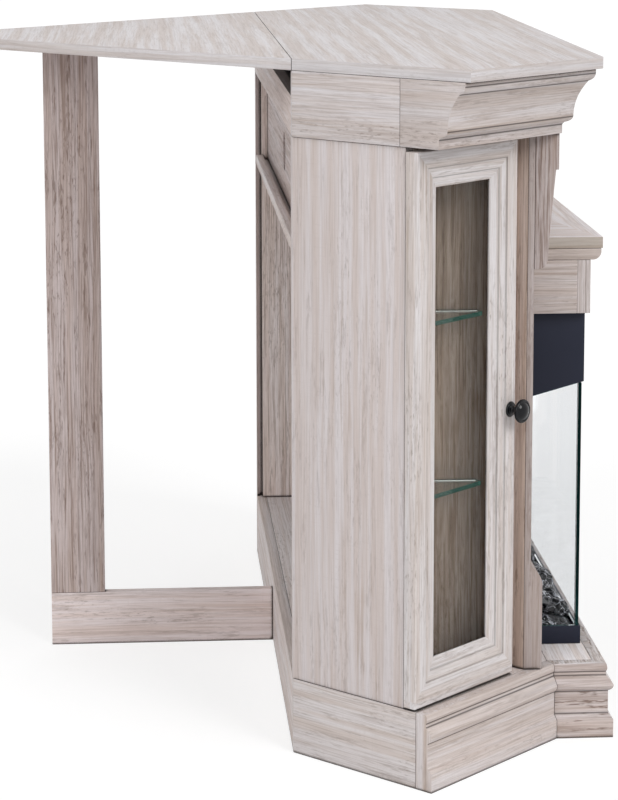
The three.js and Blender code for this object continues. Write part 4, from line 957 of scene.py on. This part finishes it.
def broken_coal(work, centre, radii, turn, draw, fine=3):
    """Adds one lump of coal, cut by flat breaks."""
    made = bmesh.ops.create_icosphere(work, subdivisions=fine, radius=1.0)["verts"]
    offset = Vector([draw.uniform(-9, 9) for _ in range(3)])
    breaks = [(Vector([draw.gauss(0, 1) for _ in range(3)]).normalized(),
               draw.uniform(0.5, 0.95)) for _ in range(12)]
    swing = Euler(turn).to_matrix()
    for vertex in made:
        way = vertex.co.normalized()
        reach = min([1.0] + [depth / way.dot(face) for face, depth in breaks
                             if way.dot(face) > 0.2])
        reach *= (1 + 0.14 * noise.noise(way * 3.5 + offset)
                  + 0.10 * abs(noise.noise(way * 8.0 - offset)))
        vertex.co = centre + swing @ Vector(
            [part * radius for part, radius in zip(way, radii)]) * reach


class FIREPLACE_OT_embers(bpy.types.Operator):
    """Heap of charred embers and broken logs in the tray"""
    bl_idname = "fireplace.embers"
    bl_label = "Heap the embers"

    def execute(self, context):
        look = context.scene.ember_bed_look
        low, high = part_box("ember_bed")
        draw = random.Random(5)
        work = bmesh.new()
        columns, rows, logs = 120, 18, 7
        wide, deep, tall = high.x - low.x, high.y - low.y, high.z - low.z

        def ground(x, y):
            """Height of the bed, low at the glass and high at the back."""
            back = (y - low.y) / deep
            rough = noise.noise(Vector((x * 26, y * 26, 1))) * 0.5 + 0.5
            edge = min(1.0, (x - low.x) / 0.02, (high.x - x) / 0.02, (y - low.y) / 0.012,
                       (high.y - y) / 0.012)
            return low.z + tall * (0.34 + max(0.0, edge) * (0.08 + 0.30 * back + 0.14 * rough))

        top, foot = [], []
        for row in range(rows + 1):
            y = low.y + deep * row / rows
            top.append([])
            foot.append([])
            for column in range(columns + 1):
                x = low.x + wide * column / columns
                top[-1].append(work.verts.new((x, y, ground(x, y))))
                foot[-1].append(work.verts.new((x, y, low.z)))
        for sheet in (top, foot):
            for row in range(rows):
                for column in range(columns):
                    work.faces.new((sheet[row][column], sheet[row][column + 1],
                                    sheet[row + 1][column + 1], sheet[row + 1][column]))
        rim = ([(0, c) for c in range(columns)] + [(r, columns) for r in range(rows)]
               + [(rows, c) for c in range(columns, 0, -1)] + [(r, 0) for r in range(rows, 0, -1)])
        for here, there in zip(rim, rim[1:] + rim[:1]):
            work.faces.new((top[here[0]][here[1]], foot[here[0]][here[1]],
                            foot[there[0]][there[1]], top[there[0]][there[1]]))
        # broken logs lie along the bed, lumps fill the rest
        for index in range(logs):
            x = low.x + wide * (index + 0.5) / logs + draw.uniform(-0.02, 0.02)
            y = low.y + deep * draw.uniform(0.38, 0.72)
            broken_coal(work, Vector((x, y, ground(x, y) + 0.008)),
                        (draw.uniform(0.06, 0.085), 0.022, 0.018),
                        (draw.uniform(-0.4, 0.4), draw.uniform(-0.08, 0.08),
                         draw.uniform(-0.5, 0.5)), draw, 4)
        for _ in range(look.lumps):
            x = draw.uniform(low.x + 0.012, high.x - 0.012)
            y = draw.uniform(low.y + 0.010, high.y - 0.010)
            size = draw.uniform(0.010, 0.021)
            broken_coal(work, Vector((x, y, ground(x, y) + size * 0.25)),
                        (size * draw.uniform(0.9, 1.7), size, size * draw.uniform(0.6, 0.95)),
                        [draw.uniform(-1.2, 1.2) for _ in range(3)], draw)
        for vertex in work.verts:
            for axis in range(3):
                vertex.co[axis] = min(max(vertex.co[axis], low[axis]), high[axis])
        new_piece("charred_ember_bed", to_mesh(work, "charred_ember_bed", False), "cabinet",
                  ember_material(), ("ember_bed",))
        return {"FINISHED"}


# ---------------------------------------------------------------- stage

# The floor: its own light where it is seen, and its colour where it is seen and where it isn't.
FLOOR_GLOW, FLOOR_SEEN, FLOOR_UNSEEN = 0.70, 0.38, 0.85


def camera_matrix(place, turn, dip, roll):
    ahead = Vector((math.cos(dip) * math.cos(turn), -math.cos(dip) * math.sin(turn),
                    -math.sin(dip)))
    right = Vector((-math.sin(turn), -math.cos(turn), 0))
    up = right.cross(ahead)
    tilted = right * math.cos(roll) + up * math.sin(roll)
    up = tilted.cross(ahead)
    matrix = Matrix((tilted, up, -ahead)).transposed().to_4x4()
    matrix.translation = place
    return matrix


def seen_directly(tree):
    """1 for what the camera sees, also in metal and through glass."""
    path = node(tree, "ShaderNodeLightPath").outputs
    return largest(tree, path["Is Camera Ray"], path["Is Glossy Ray"], path["Is Transmission Ray"])


class FIREPLACE_OT_stage(bpy.types.Operator):
    """Camera at the angle of the photograph, pale floor and soft studio light"""
    bl_idname = "fireplace.stage"
    bl_label = "Set the stage"

    def execute(self, context):
        look, scene = context.scene.studio_look, context.scene
        scene.view_settings.view_transform = "Standard"
        lens = bpy.data.cameras.new("studio_camera")
        lens.sensor_width, lens.lens, lens.shift_y = 36, look.lens, look.shift
        lens.clip_start, lens.clip_end = 0.1, 200
        camera = bpy.data.objects.new("studio_camera", lens)
        camera.matrix_world = camera_matrix(Vector(look.place), look.turn, look.dip, look.roll)
        scene.collection.objects.link(camera)
        scene.camera = camera

        work = bmesh.new()
        bmesh.ops.create_grid(work, x_segments=8, y_segments=8, size=60)
        floor = bpy.data.objects.new("studio_floor", to_mesh(work, "studio_floor", False))
        scene.collection.objects.link(floor)
        material, tree, shader = new_material("studio_floor", Roughness=0.9,
                                              Specular_IOR_Level=0.0,
                                              Emission_Color=(1, 1, 1))
        seen = seen_directly(tree)
        feed(tree, shader, Emission_Strength=times(tree, seen, FLOOR_GLOW),
             Base_Color=mix_colour(tree, seen, (FLOOR_UNSEEN,) * 3, (FLOOR_SEEN,) * 3))
        floor.data.materials.append(material)

        world = bpy.data.worlds.new("studio_sky")
        world.use_nodes = True
        scene.world = world
        tree = world.node_tree
        back = tree.nodes["Background"]
        strength = maths(tree, "MULTIPLY_ADD", seen_directly(tree), 1 - look.sky, look.sky)
        back.inputs["Color"].default_value = (1, 1, 1, 1)
        tree.links.new(strength, back.inputs["Strength"])

        for name, strength, angle, toward in (
                ("key_lamp", look.key, 28, (0.62, 0.50, -0.60)),
                ("side_lamp", look.side, 34, (0.66, -0.60, -0.45)),
                ("fill_lamp", look.fill, 60, (-0.75, -0.2, -0.6))):
            data = bpy.data.lights.new(name, "SUN")
            data.energy, data.angle = strength, math.radians(angle)
            lamp = bpy.data.objects.new(name, data)
            lamp.rotation_euler = Vector(toward).to_track_quat("-Z", "Y").to_euler()
            scene.collection.objects.link(lamp)
        return {"FINISHED"}


# ---------------------------------------------------------------- add-on

OPERATORS = (
    FIREPLACE_OT_stage, FIREPLACE_OT_timber, FIREPLACE_OT_glass, FIREPLACE_OT_metal,
    FIREPLACE_OT_knobs, FIREPLACE_OT_screws, FIREPLACE_OT_embers,
)


class FIREPLACE_PT_panel(bpy.types.Panel):
    """Lists the steps that dress the cabinet"""
    bl_label = "Corner fireplace"
    bl_idname = "FIREPLACE_PT_panel"
    bl_space_type = "VIEW_3D"
    bl_region_type = "UI"
    bl_category = "Fireplace"

    def draw(self, context):
        for step in OPERATORS:
            self.layout.operator(step.bl_idname, text=step.bl_label)
        for name, group in SETTINGS.items():
            box = self.layout.box()
            box.label(text=group.__doc__)
            for key in group.__annotations__:
                box.prop(getattr(context.scene, name), key)


def register():
    for group in SETTINGS.values():
        bpy.utils.register_class(group)
    for name, group in SETTINGS.items():
        setattr(bpy.types.Scene, name, bpy.props.PointerProperty(type=group))
    for step in OPERATORS:
        bpy.utils.register_class(step)
    bpy.utils.register_class(FIREPLACE_PT_panel)


def unregister():
    bpy.utils.unregister_class(FIREPLACE_PT_panel)
    for step in reversed(OPERATORS):
        bpy.utils.unregister_class(step)
    for name in SETTINGS:
        delattr(bpy.types.Scene, name)
    for group in reversed(list(SETTINGS.values())):
        bpy.utils.unregister_class(group)


def main():
    register()
    for step in OPERATORS:
        family, name = step.bl_idname.split(".")
        getattr(getattr(bpy.ops, family), name)()


if __name__ == "__main__":
    main()
